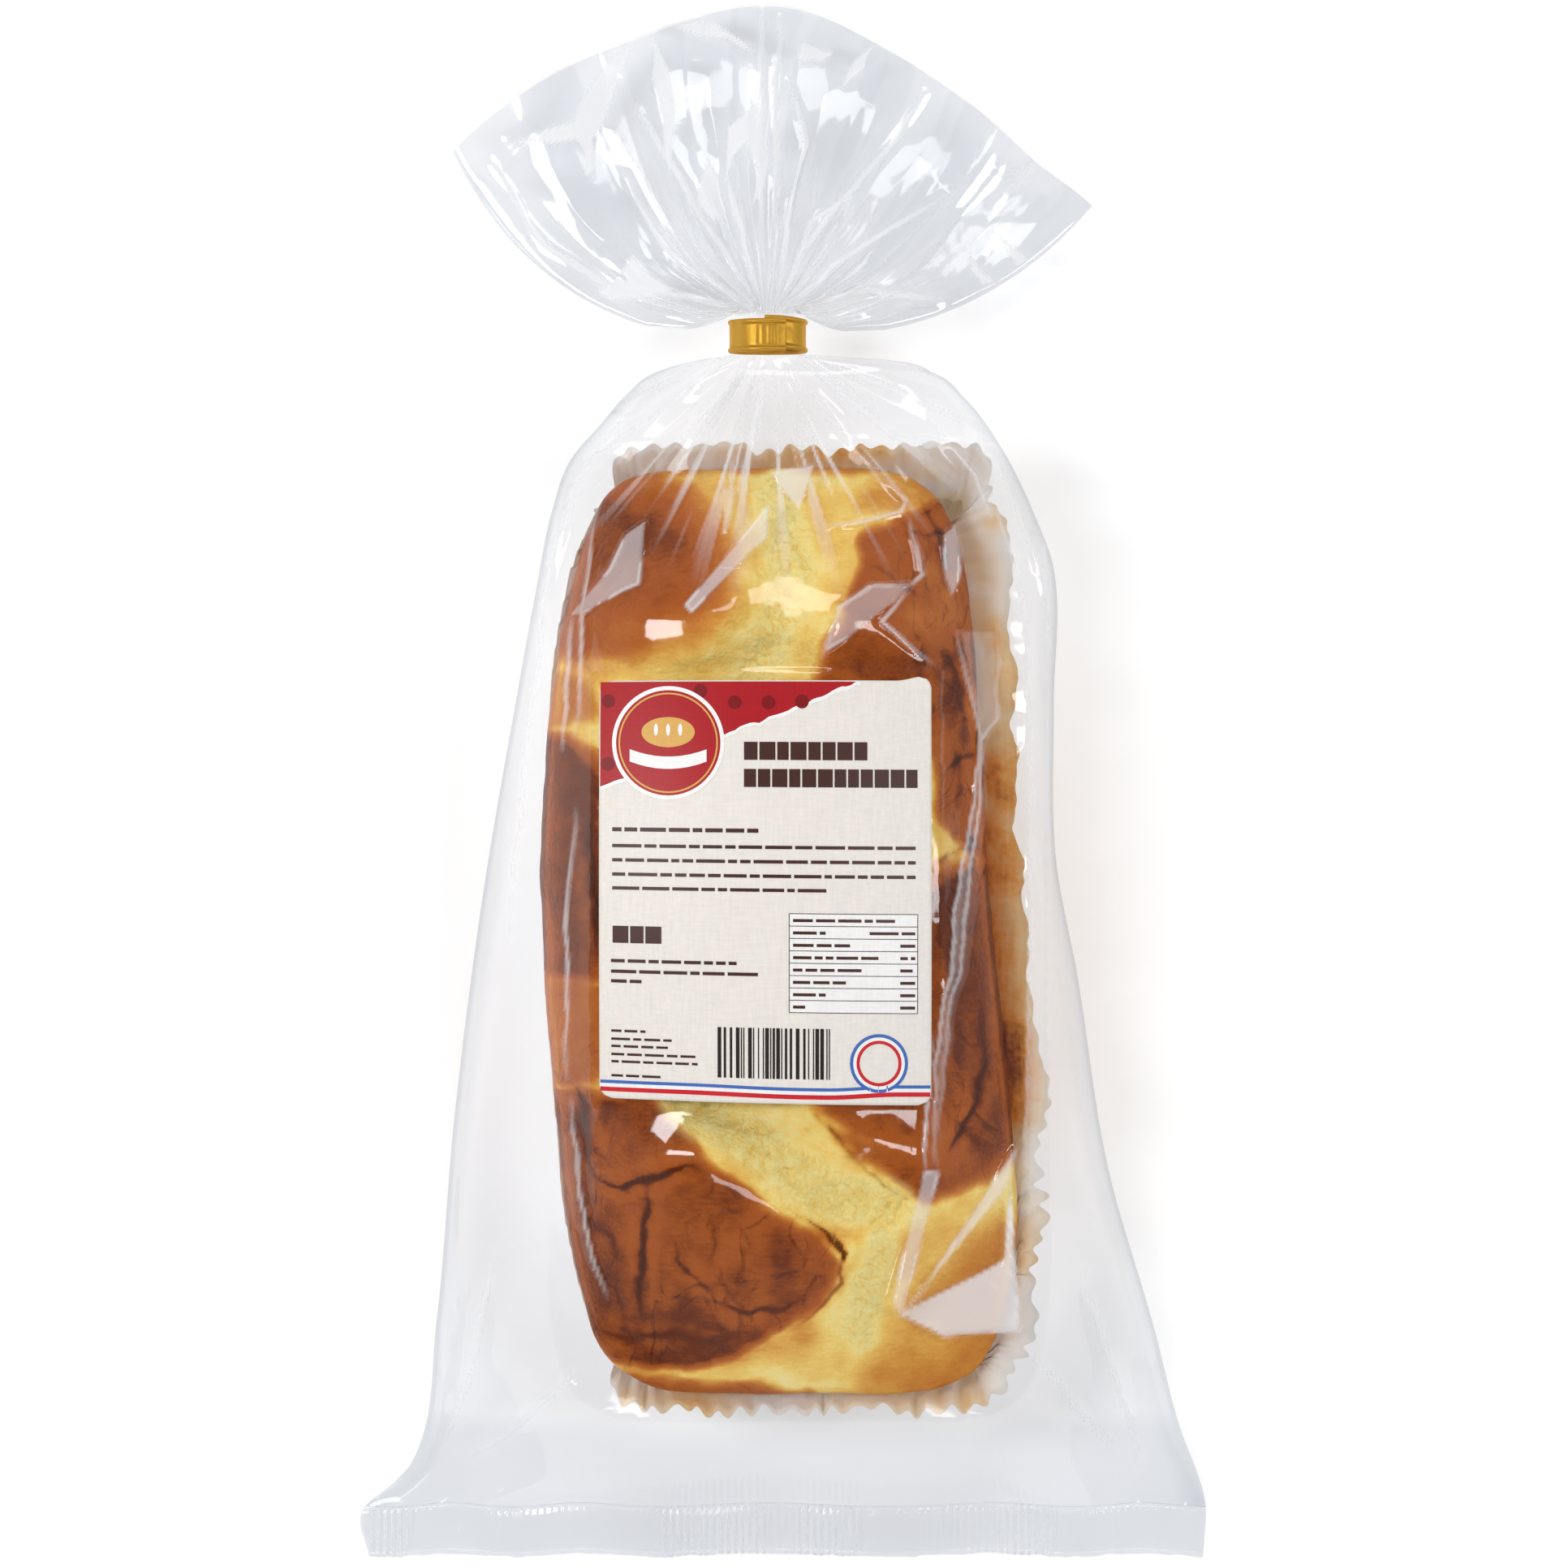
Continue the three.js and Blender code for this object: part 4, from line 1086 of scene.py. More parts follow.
def case_points():
    """The fluted wall from the floor up to its uneven rim, then the floor's middle.

    The wall leans out with the square of the height, and on the right side with its cube and
    from twice as far in. Its flutes swing in and out as a sine, deeper towards the rim and
    flatter where they are pressed, and it gives way where the loaf presses on it. With the
    points comes how high up the wall each lies, 0 to 1.
    """
    rim_x, rim_y, out_x, out_y = case_outline(CASE_COLUMNS)
    level = np.linspace(0, 1, CASE_LEVELS)[:, None]
    turn = np.linspace(0, 1, CASE_COLUMNS + 1)[None, :-1]
    circle_x, circle_y = 9 * np.cos(2 * np.pi * turn), 9 * np.sin(2 * np.pi * turn)
    uneven = cloud(circle_x, circle_y, 1.6, 31, 3)
    on_left, on_right = (smooth((side * out_x[None, :] - 0.2) / 0.5) for side in (-1, 1))
    rim = mix(CASE_RIM_HEIGHT - 1.5, CASE_RIM_LEFT, on_left) + RIM_UNEVENNESS * uneven
    z = CASE_FLOOR_HEIGHT + (rim - CASE_FLOOR_HEIGHT) * level
    inset = (CASE_HALF[0] - CASE_FLOOR_HALF_WIDTH) * (1 + on_right) * (
        1 - np.minimum(1, z / CASE_RIM_HEIGHT) ** (2 + on_right))
    phase = 2 * np.pi * CASE_FLUTES * (turn + 0.0022 * cloud(circle_x, circle_y, 0.9, 33, 2))
    flute = mix(*FLUTE_DEPTHS, level) * np.sin(phase)
    flute = flute * (1 + 0.6 * cloud(circle_x, circle_y, 0.5, 34, 2))
    flute = flute * (1 - on_right * through(CASE_PRESSED, rim_y)[None, :])
    flute = flute + 1.5 * level ** 2 * cloud(circle_x, circle_y + 0.5 * level, 0.8, 35, 3)
    drawn_in = LEFT_WALL_INSET * on_left + on_right * through(CASE_DRAWN_IN, rim_y)[None, :] * level
    x = rim_x[None, :] + out_x[None, :] * (flute - drawn_in - inset)
    y = rim_y[None, :] + out_y[None, :] * (flute - drawn_in - inset)
    middle_x = through(LOAF_MIDDLE_X, y)
    side = np.interp(z, *zip(*LOAF_SIDE))
    push = np.maximum(1, side / np.maximum(loaf_out(x, y), 0.01))
    x = middle_x + (x - middle_x) * push
    y = LOAF_MIDDLE_Y + (y - LOAF_MIDDLE_Y) * push
    wall = np.stack((x, y, z), 2)
    floor = wall[0] * (0.9, 0.9, 1) + (0.1 * CASE_MIDDLE[0], 0.1 * CASE_MIDDLE[1], 0)
    middle = np.array([[*CASE_MIDDLE, CASE_FLOOR_HEIGHT]])
    return np.concatenate((floor, wall.reshape(-1, 3), middle)), level * np.ones_like(x)


def ruffle_plan():
    """Each place across the ruffle and out from the neck, and its x and y in the flat fan.

    The fan is as wide as the neck at its start, spreads fast to its full angles, and narrows
    again to its rim.
    """
    across, out = np.meshgrid(np.linspace(0, 1, RUFFLE_COLUMNS), np.linspace(0, 1, RUFFLE_ROWS))
    right_rim, left_rim = RUFFLE_REACH[0][0], RUFFLE_REACH[-1][0]
    narrowing = np.clip((out - RUFFLE_FULL_SHARE) / (1 - RUFFLE_FULL_SHARE), 0, 1)
    right = mix(RUFFLE_FULL_ANGLES[0], right_rim, narrowing)
    left = mix(RUFFLE_FULL_ANGLES[1], left_rim, narrowing)
    angle = np.radians(mix(right, left, across))
    reach = through(RUFFLE_REACH, mix(right_rim, left_rim, across)) * out
    spread = smooth(out / 0.22)
    start_x, start_y = NECK_X + NECK_HALF_WIDTH * (1 - 2 * across), NECK_Y + NECK_LENGTH / 2
    x = mix(start_x, NECK_X + reach * np.cos(angle), spread)
    y = mix(start_y, NECK_Y + reach * np.sin(angle), spread) + (1 - spread) * reach * 0.4
    return across, out, x, y


def ruffle_points(upper):
    """One film of the ruffle, how doubled it is and its painted highlight: a fan folded into radial
    pleats.

    A pleat is a triangle wave of the place across, bent by noise, that grows with the distance
    from the neck. Facets of crumpled film lie over it, and both side folds hold the films
    together. Highlights are painted on the rays close to the tie and on the pleats' ridges, and on
    the upper film's folds and leaves.
    """
    across, out, x, y = ruffle_plan()
    middle = mix(NECK_Z, RUFFLE_RIM_Z, smooth(out * 1.05))
    edge = np.sqrt(np.maximum(0, 1 - (2 * across - 1) ** 8))
    seed = 41 if upper else 45
    bent = across + 0.035 * cloud(across * 9, out * 1.5, 1, seed, 3)
    wave = zigzag(RUFFLE_PLEATS[upper] * bent) * 2 - 1
    wave = np.sign(wave) * np.abs(wave) ** 0.8
    growth = smooth(out / 0.14) * (1 - 0.45 * smooth((out - 0.35) / 0.65))
    fold = RUFFLE_PLEAT_HEIGHT * growth * wave * edge
    fold = fold * (0.75 + 0.5 * cloud(across * 7, out, 1, 47, 2))
    grown = smooth(out / 0.3) * edge
    leaning = facets(x, y, 42, seed + 1)
    crumple = RUFFLE_FACET_HEIGHTS[0] * leaning
    crumple = grown * (crumple + RUFFLE_FACET_HEIGHTS[1] * facets(x, y, 12, seed + 2))
    close = smooth(out / 0.06) * (1 - smooth((out - 0.3) / 0.3))
    ray = zigzag(RUFFLE_RAYS * across + 0.8 * cloud(across * 20, out * 3, 1, 49, 2))
    fine = RAY_HEIGHT * close * (ray - 0.5)
    thick = mix(2 * neck_bulge(across), RUFFLE_THICKNESS * edge + 0.25, smooth(out * 2))
    z = middle + fold + crumple + fine + (thick / 2 if upper else -thick / 2)
    doubled = 0.5 + 0.24 * smooth(4 * wave + 0.5) - 0.2 * smooth(3 * leaning)
    ridge = np.maximum(0, 1 - (1 - np.abs(wave)) * 7) * smooth(cloud(across * 9, out, 1, 44, 2) * 3)
    # Painted highlights on the rays near the tie and on the pleats' ridges
    painted_highlight = RAY_PAINTED_HIGHLIGHT * np.maximum(0, 1 - ray * 4) * close
    painted_highlight = painted_highlight + RIDGE_PAINTED_HIGHLIGHT * ridge * smooth(out / 0.1)
    bent_x = x + 0.5 * cloud(x, y, 9, 58, 2)
    # Painted highlight along each sharp fold, on the upper film
    for path, half in RUFFLE_FOLDS:
        away, along = line_distance(bent_x, y, path)
        line = smooth(1.3 - away / half) * run_out(along, 0.04)
        z = z + 0.5 * np.maximum(0, 1 - away / 2) * smooth(out / 0.1)
        painted_highlight = np.maximum(painted_highlight, SHARP_FOLD_PAINTED_HIGHLIGHT * line * upper)
    # Painted highlight on each leaf, on the upper film
    for leaf in PAINTED_HIGHLIGHT_LEAVES:
        inside = smooth((depth_inside(x, y, leaf) + 0.3) / 0.8)
        painted_highlight = np.maximum(painted_highlight, LEAF_PAINTED_HIGHLIGHT * inside * upper)
    points = np.stack((x, y, np.maximum(0.35 if upper else 0.1, z)), 2)
    return points, np.clip(doubled, 0, 1), np.clip(painted_highlight, 0, 1)


def weld_points():
    """The weld as closed rings from its inner to its outer edge: two films fused into a strip.

    Fine ribs run along the bag across the whole strip, each a sine of the place across it.
    """
    rows = np.linspace(WELD_EDGE_Y + WELD_DEPTH, WELD_EDGE_Y, WELD_ROWS)
    across, y = np.meshgrid(np.linspace(0, 1, WELD_COLUMNS), rows)
    x = film_x(across, y)
    low = underside(across, y)
    fused = smooth((WELD_EDGE_Y + WELD_DEPTH - y) / 2.5)
    ribs = RIB_HEIGHT * fused * np.sin(2 * np.pi * x / RIB_PITCH)
    ribs = ribs * (1 + 0.6 * cloud(x, y, 9, 51, 2))
    buckle = 0.5 * fused * facets(x, y, 14, 52)
    end = smooth(across * 40) * smooth((1 - across) * 40)
    centre = low + mix(FILM_STEP / 2, 0.45, fused) + (ribs + np.maximum(buckle, -0.3)) * end
    half = mix(FILM_STEP / 2, WELD_THICKNESS / 2, fused)
    ragged = 0.25 * cloud(x, 0 * x, 3, 53, 2) * (y < WELD_EDGE_Y + 1)
    y = y + WELD_SWING * weld_wave(across) + ragged
    top = np.stack((x, y, centre + half), 2)
    bottom = np.stack((x, y, np.maximum(0.02, centre - half)), 2)
    return np.concatenate((top, bottom[:, ::-1]), 1)


def tie_points():
    """The gold band: a thin section with a bead along each edge, carried round the neck's oval.

    The last stretch rises over the first, and the first runs off a little along the bag.
    """
    half = BAND_WIDTH / 2 - BEAD_RADIUS
    flat = np.linspace(half - 0.8 * BEAD_RADIUS, -half + 0.8 * BEAD_RADIUS, 15)
    bead = np.radians(np.linspace(15, 140, 7))
    bead_y, bead_z = half + BEAD_RADIUS * np.cos(bead), BEAD_RADIUS * np.sin(bead)
    over_y = np.concatenate((bead_y, flat, -bead_y[::-1]))
    over_z = np.concatenate((bead_z, np.full(len(flat), BAND_THICKNESS / 2), bead_z[::-1]))
    section_y = np.concatenate((over_y, over_y[::-1]))[None, :]
    section_z = np.concatenate((over_z, -over_z[::-1]))[None, :]
    turned = np.linspace(0, TIE_TURN, TIE_STEPS)[:, None]
    angle = np.radians(TIE_START - turned)
    rise = TIE_OVERLAP_RISE * smooth((turned - 300) / 50)
    off = BEAD_RADIUS + TIE_GAP + rise
    shift = TIE_TWIST * (1 - smooth(turned / 110))
    normal_x, normal_z = np.cos(angle) / NECK_HALF_WIDTH, np.sin(angle) / NECK_HALF_HEIGHT
    length = np.hypot(normal_x, normal_z)
    lines = np.sin(turned * 0.62) * smooth((turned - 340) / 8) * smooth((384 - turned) / 5)
    middle = np.abs(section_y) < 2.4
    height = section_z + LINE_HEIGHT * lines * middle * (section_z > 0)
    along, aside = np.broadcast_arrays(turned * 0.12, section_y)
    height = height + BAND_UNEVENNESS * cloud(along, aside, 1.7, 55, 2)
    x = NECK_X + NECK_HALF_WIDTH * np.cos(angle) + normal_x / length * (off + height)
    z = NECK_Z + NECK_HALF_HEIGHT * np.sin(angle) + normal_z / length * (off + height)
    y = BAND_Y + shift - section_y + 0 * x
    return np.stack((x, y, z), 2)


def closed_tube(rows, count):
    """Faces of closed rings of points, with a strip over each end between the ring's halves."""
    side = sheet_faces(rows, count, ring=True)[:, ::-1]
    k = np.arange(count // 2 - 1)
    first = np.stack((k, k + 1, count - 2 - k, count - 1 - k), 1)
    last = first[:, ::-1] + (rows - 1) * count
    return [side, first, last]


def label_place(across, down):
    """Place on the pack of a point of the label, from its top left corner, a little askew."""
    x = LABEL_MIDDLE[0] - LABEL_SIZE[0] / 2 + across
    y = LABEL_MIDDLE[1] + LABEL_SIZE[1] / 2 - down
    return x, y - LABEL_SKEW * across / LABEL_SIZE[0] * down / LABEL_SIZE[1]


def label_surface(across, down, lift):
    """Points on the label's upper face, lift above it, with its loose tip at the top right."""
    x, y = label_place(across, down)
    tip = smooth((across + TIP_SLANT * (LABEL_SIZE[1] - down) - TIP_START) / TIP_BEND)
    z = label_support(x, y) + LABEL_GAP + lift + TIP_RISE * tip ** 2
    return np.stack((x, y + TIP_DRAWN * tip, z), 2)


def label_sheet_points():
    """The label's rounded rectangle: rows that draw in near its ends by the corners' arc."""
    s, t = np.meshgrid(np.linspace(0, 1, LABEL_COLUMNS), np.linspace(0, 1, LABEL_ROWS))
    down = LABEL_SIZE[1] * t
    from_end = np.minimum(down, LABEL_SIZE[1] - down)
    short = np.maximum(0, LABEL_CORNER - from_end)
    draw = LABEL_CORNER - np.sqrt(np.maximum(0, LABEL_CORNER ** 2 - short ** 2))
    across = mix(draw, LABEL_SIZE[0] - draw, s)
    return label_surface(across, down, 0)


def patch(left, right, top, bottom, cell=PRINT_CELL):
    """A grid over a rectangle of the label. Its top and bottom may be formulas of the across."""
    columns = max(2, int(math.ceil((right - left) / cell)) + 1)
    across = np.linspace(left, right, columns)
    high = top(across) if callable(top) else np.full(columns, float(top))
    low = bottom(across) if callable(bottom) else np.full(columns, float(bottom))
    rows = max(2, int(math.ceil(np.max(low - high) / cell)) + 1)
    share = np.linspace(0, 1, rows)[:, None]
    return across[None, :] * np.ones((rows, 1)), mix(high, low, share)


def disc(middle, inner, outer, squash=1):
    """A grid over a ring of the label between two radii, made oval by squash."""
    turn = np.linspace(0, 2 * np.pi, max(20, int(outer * 5)) + 1)[None, :]
    rows = max(2, int(math.ceil((outer - inner) / DISC_CELL)) + 1)
    radius = np.linspace(inner, outer, rows)[:, None]
    return middle[0] + radius * np.cos(turn), middle[1] + radius * squash * np.sin(turn)


def bars(left, right, line, height, seed, lengths, gap):
    """A line of print as plain bars of seeded lengths, with a gap between each two."""
    random = np.random.default_rng(seed)
    row, at = [], left
    while at < right - 1:
        end = min(right, at + random.uniform(*lengths))
        row.append(patch(at, end, line - height / 2, line + height / 2))
        at = end + gap
    return row


def words(left, right, line, height, seed, longest=7.5):
    """A line of small print: bars as long as words."""
    return bars(left, right, line, height, seed, (1.8, longest), 0.75)


def letters(left, right, line, height, seed):
    """A line of large print: bars as wide as letters."""
    return bars(left, right, line, height, seed, (2.6, 4), 0.45)


def make_print(name, material, lift, grids):
    """One printed colour: all its patches, laid on the label's face as one mesh."""
    points, faces, first = [], [], 0
    for across, down in grids:
        spot = label_surface(across, down, lift)
        points.append(spot.reshape(-1, 3))
        faces.append(sheet_faces(*across.shape)[:, ::-1] + first)
        first += across.size
    piece = make_piece(name, np.concatenate(points), faces, material)
    return piece


def torn_rim(across):
    """Where the white rim of the torn edge ends, about a millimetre below the red field."""
    return torn_edge(across) + 0.9 + 0.4 * cloud(across, 0 * across + 5, 3, 62, 2)


def torn_edge(across):
    """Where the red field ends: a slanting line, ragged like torn paper."""
    straight = through([(0, 26.4), (14, 20.6), (31.5, 13), (45, 8), (63.4, 0.3)], across)
    return np.maximum(0.3, straight + 0.45 * cloud(across, 0 * across, 2.2, 61, 3))


def text_print():
    """The large lines and the small print, as plain bars."""
    grids = [bar for line in LARGE_PRINT for bar in letters(*line)]
    for left, height, seed, longest, lines in SMALL_PRINT:
        for k, (end, line) in enumerate(lines):
            grids += words(left, end, line, height, seed + k, longest)
    return grids


def table_print():
    """The table: a frame, a line between each two rows, and bars in its two columns."""
    left, right, top, bottom = TABLE
    step = (bottom - top) / len(TABLE_WORDS)
    grids = [patch(left, left + TABLE_LINE, top, bottom),
             patch(right - TABLE_LINE, right, top, bottom)]
    for row in range(len(TABLE_WORDS) + 1):
        line = top + row * step
        grids.append(patch(left, right, line - TABLE_LINE / 2, line + TABLE_LINE / 2))
    for row, length in enumerate(TABLE_WORDS):
        line = top + (row + 0.55) * step
        grids += words(left + 1, left + 1 + length, line, 0.75, 40 + row, 6)
        if row > 0:
            grids += words(right - (12 if row == 1 else 4.4), right - 0.7, line, 0.75, 50 + row)
    return grids


def bar_code_print():
    """A made-up row of upright bars, of seeded widths, that stands for no number."""
    random = np.random.default_rng(7)
    left, right, top, bottom = BAR_CODE
    grids, at = [], left
    while at < right - 0.3:
        width = random.choice((0.3, 0.3, 0.6, 0.9))
        grids.append(patch(at, min(right, at + width), top, bottom))
        at += width + random.choice((0.3, 0.3, 0.6, 0.9))
    return grids


def stripe(offset, width):
    """One wavy stripe along the label's lower end."""
    def upper(across):
        """Where the stripe begins."""
        return 98.9 + offset + 0.5 * smooth((across - 20) / 30) - 0.9 * smooth((across - 56) / 18)
    return [patch(0.2, LABEL_SIZE[0] - 0.2, upper, lambda across: upper(across) + width)]


def ribbon(top, bottom):
    """A band across the badge that sags towards its two ends, from one height to another."""
    def arc(across):
        """Where the band begins."""
        return BADGE[1] + top - 0.02 * (across - BADGE[0]) ** 2
    return [patch(BADGE[0] - 9.5, BADGE[0] + 9.5, arc, lambda across: arc(across) + bottom - top)]


def srgb(red, green, blue):
    """A colour given as 0 to 255 on screen, as the linear values that light adds up in."""
    value = np.array((red, green, blue)) / 255
    linear = np.where(value <= 0.04045, value / 12.92, ((value + 0.055) / 1.055) ** 2.4)
    return tuple(float(part) for part in linear)


def new_material(name):
    """An empty node material, its node tree and its output node."""
    material = bpy.data.materials.new(name)
    material.use_nodes = True
    tree = material.node_tree
    tree.nodes.clear()
    return material, tree, tree.nodes.new("ShaderNodeOutputMaterial")


def finished(material, tree, output, shader):
    """The material, once the shader is linked to its surface."""
    tree.links.new(shader.outputs[0], output.inputs["Surface"])
    return material


def set_inputs(tree, node, inputs):
    """Give a node its inputs. Each is a value, or a socket to link from."""
    for key, value in inputs.items():
        if isinstance(value, bpy.types.NodeSocket):
            tree.links.new(value, node.inputs[key])
        else:
            node.inputs[key].default_value = value


def add_node(tree, kind, inputs=None, **settings):
    """A node with its settings and inputs."""
    node = tree.nodes.new(kind)
    for setting, value in settings.items():
        setattr(node, setting, value)
    set_inputs(tree, node, inputs or {})
    return node


def calculate(tree, operation, *values, **settings):
    """The result of one sum on values or sockets, such as MULTIPLY or ADD."""
    return add_node(tree, "ShaderNodeMath", dict(enumerate(values)), operation=operation,
                    **settings).outputs[0]


def rescaled(tree, value, from_low, from_high, to_low, to_high):
    """A value from one range stretched to another, and kept inside it."""
    limits = {1: from_low, 2: from_high, 3: to_low, 4: to_high}
    return add_node(tree, "ShaderNodeMapRange", {"Value": value, **limits}).outputs[0]


def blended(tree, share, first, second):
    """The first colour where share is 0, and the second where it is 1."""
    return add_node(tree, "ShaderNodeMix", {0: share, 6: first, 7: second},
                    data_type="RGBA").outputs[2]


def marked(tree, name):
    """The values of one of the mesh's marks."""
    return add_node(tree, "ShaderNodeAttribute", attribute_name=name).outputs["Fac"]


def own_place(tree):
    """Each point's place in the piece's own mesh."""
    return add_node(tree, "ShaderNodeTexCoord").outputs["Object"]


def stretched(tree, where, scale, place=(0, 0, 0)):
    """Places scaled by axis and then moved, so that a pattern on them is drawn out."""
    return add_node(tree, "ShaderNodeMapping", {
        "Vector": where, "Scale": scale, "Location": place}).outputs[0]


def noise(tree, where, scale, detail, roughness=0.5, distortion=0, **settings):
    """Soft noise, detail octaves deep, with scale patches to a metre."""
    return add_node(tree, "ShaderNodeTexNoise", {
        "Vector": where, "Scale": scale, "Detail": detail, "Roughness": roughness,
        "Distortion": distortion}, **settings).outputs["Fac"]


def cells(tree, where, scale, **settings):
    """Distance within the cells of a random net, with scale cells to a metre."""
    return add_node(tree, "ShaderNodeTexVoronoi", {
        "Vector": where, "Scale": scale}, **settings).outputs["Distance"]


def bumped(tree, height, distance, strength=1, normal=None, **settings):
    """The normal of a surface raised by a height, over a normal that is bumped already."""
    inputs = {"Strength": strength, "Distance": distance, "Height": height}
    if normal is not None:
        inputs["Normal"] = normal
    return add_node(tree, "ShaderNodeBump", inputs, **settings).outputs["Normal"]


def colour_ramp(tree, place, stops, smoothing="CARDINAL"):
    """A colour ramp from pairs of (place, colour on screen)."""
    ramp = add_node(tree, "ShaderNodeValToRGB", {"Fac": place})
    ramp.color_ramp.interpolation = smoothing
    while len(ramp.color_ramp.elements) < len(stops):
        ramp.color_ramp.elements.new(0.5)
    for stop, (position, colour) in zip(ramp.color_ramp.elements, stops):
        stop.position = position
        stop.color = (*srgb(*colour), 1)
    return ramp.outputs["Color"]


def new_group(name, inputs, outputs):
    """A shader node group with named float inputs, given with their defaults, and outputs."""
    tree = bpy.data.node_groups.new(name, "ShaderNodeTree")
    for label, default in inputs:
        socket = tree.interface.new_socket(label, in_out="INPUT", socket_type="NodeSocketFloat")
        socket.default_value = default
    for label, kind in outputs:
        tree.interface.new_socket(label, in_out="OUTPUT", socket_type=kind)
    return tree, tree.nodes.new("NodeGroupInput"), tree.nodes.new("NodeGroupOutput")


def place_group(tree, name, inputs):
    """A placed copy of a node group, with its values."""
    node = tree.nodes.new("ShaderNodeGroup")
    node.node_tree = bpy.data.node_groups[name]
    set_inputs(tree, node, inputs)
    return node


def make_groups():
    """The effects that several finishes share: the film's fine wrinkles, and paper fibres."""
    tree, given, made = new_group(
        "film wrinkles", [("Fine", 1), ("Depth", 1)], [("Normal", "NodeSocketVector")])
    where = own_place(tree)
    wide = noise(tree, where, 60, 2, 0.45, 0.6, noise_dimensions="2D")
    net = cells(tree, where, 95, feature="DISTANCE_TO_EDGE", voronoi_dimensions="2D")
    crease = calculate(tree, "MINIMUM", net, 0.12)
    fine = calculate(tree, "MULTIPLY", crease, given.outputs["Fine"])
    depth = calculate(tree, "MULTIPLY", given.outputs["Depth"], WRINKLE_BUMP)
    normal = bumped(tree, calculate(tree, "ADD", fine, wide), depth)
    tree.links.new(normal, made.inputs["Normal"])

    tree, given, made = new_group(
        "paper fibres", [("Fibre Size", 900), ("Depth", 1)],
        [("Fibre", "NodeSocketFloat"), ("Normal", "NodeSocketVector")])
    where = own_place(tree)
    size = given.outputs["Fibre Size"]
    threads = [noise(tree, stretched(tree, where, stretch), size, 2)
               for stretch in ((1, 0.12, 0.12), (0.12, 1, 1))]
    cloth = calculate(tree, "MULTIPLY", calculate(tree, "ADD", *threads), 0.5)
    depth = calculate(tree, "MULTIPLY", given.outputs["Depth"], FIBRE_BUMP)
    tree.links.new(cloth, made.inputs["Fibre"])
    tree.links.new(bumped(tree, cloth, depth), made.inputs["Normal"])


def crust_material():
    """Glazed crust: pale yellow to dark brown as it bakes, mottled, wrinkled, with fine pores.

    Its colour follows the mark browning_and_rim_shade, which holds painted shade towards the
    loaf's outline, with a soft mottle and short streaks across the loaf. The mark
    painted_relief_shade paints creases dark brown as shade and sharp ridges a little lighter, the
    mark wrinkled says where the skin is puckered and where shade is painted into its grooves, and
    the mark crumb turns it into torn, fibrous crumb.
    """
    material, tree, output = new_material("baked_crust")
    brown, torn, painted_relief_shade = (marked(tree, name) for name in ("browning_and_rim_shade", "crumb", "painted_relief_shade"))
    where = own_place(tree)
    mottle = rescaled(tree, noise(tree, where, 130, 5, 0.66), 0.25, 0.75, -0.06, 0.06)
    streaks = noise(tree, stretched(tree, where, (0.3, 1, 1)), 1100, 3)
    uneven = calculate(tree, "ADD", mottle, rescaled(tree, streaks, 0.3, 0.7, -0.025, 0.025))
    # Painted shade and light from the relief: creases browner, sharp ridges paler
    brown_and_relief_shade = calculate(tree, "ADD", brown, rescaled(tree, painted_relief_shade, -1, 1, -0.2, 0.2))

    ridges = add_node(tree, "ShaderNodeTexNoise", {
        "Vector": stretched(tree, where, (1, 0.7, 1), (0.31, 0.07, 0)), "Scale": 105,
        "Detail": 4, "Offset": 1, "Gain": 1, "Distortion": 0.9},
        noise_type="RIDGED_MULTIFRACTAL", normalize=False).outputs["Fac"]
    puckered = calculate(tree, "MULTIPLY", marked(tree, "wrinkled"),
                         rescaled(tree, brown, 0.3, 0.7, 0, 1))
    wrinkle = calculate(tree, "MULTIPLY", rescaled(tree, ridges, 1.1, 1.85, 0, 1), puckered)
    # Painted shade in the grooves of the puckered wrinkles: a little browner
    darker = calculate(tree, "MULTIPLY_ADD", wrinkle, 0.06, brown_and_relief_shade)
    skin = colour_ramp(tree, calculate(tree, "ADD", darker, uneven), CRUST_COLOURS)

    fibres = noise(tree, where, 380, 5, 0.72, 1.4)
    inside = colour_ramp(tree, fibres, CRUMB_COLOURS)
    colour = blended(tree, calculate(tree, "MULTIPLY", torn, 0.85), skin, inside)
    # Painted shade: creases blended towards dark brown
    colour = blended(tree, rescaled(tree, painted_relief_shade, 0.2, 1, 0, 0.8), colour,
                     (*srgb(*CREASE_SHADE_COLOUR), 1))

    pores = cells(tree, where, 1100)
    grain = calculate(tree, "ADD", pores, noise(tree, where, 700, 2))
    normal = bumped(tree, calculate(tree, "ADD", streaks, grain), PORE_BUMP, 0.8)
    normal = bumped(tree, wrinkle, CRUST_WRINKLE_BUMP, 1, normal, invert=True)
    normal = bumped(tree, calculate(tree, "MULTIPLY", fibres, torn), CRUMB_BUMP, 1, normal)
    surface = add_node(tree, "ShaderNodeBsdfPrincipled", {
        "Base Color": colour, "Roughness": rescaled(tree, torn, 0, 1, 0.4, 0.75),
        "Normal": normal, "Specular IOR Level": 0.12})
    return finished(material, tree, output, surface)


def case_material():
    """Thin baking paper, off-white with brown stains of butter and crust, partly see-through."""
    material, tree, output = new_material("baking_paper")
    fibres = place_group(tree, "paper fibres", {"Fibre Size": 700, "Depth": 2})
    uneven = rescaled(tree, fibres.outputs["Fibre"], 0.3, 0.7, 0.7, 1.2)
    amount = calculate(tree, "MULTIPLY", marked(tree, "stain"), uneven)
    tint = colour_ramp(tree, amount, STAIN_COLOURS, "LINEAR")
    paper = add_node(tree, "ShaderNodeBsdfPrincipled", {
        "Base Color": tint, "Roughness": 0.62, "Normal": fibres.outputs["Normal"]})
    through_light = add_node(tree, "ShaderNodeBsdfTranslucent", {"Color": tint})
    both = add_node(tree, "ShaderNodeMixShader", {
        0: 0.5, 1: paper.outputs[0], 2: through_light.outputs[0]})
    return finished(material, tree, output, both)


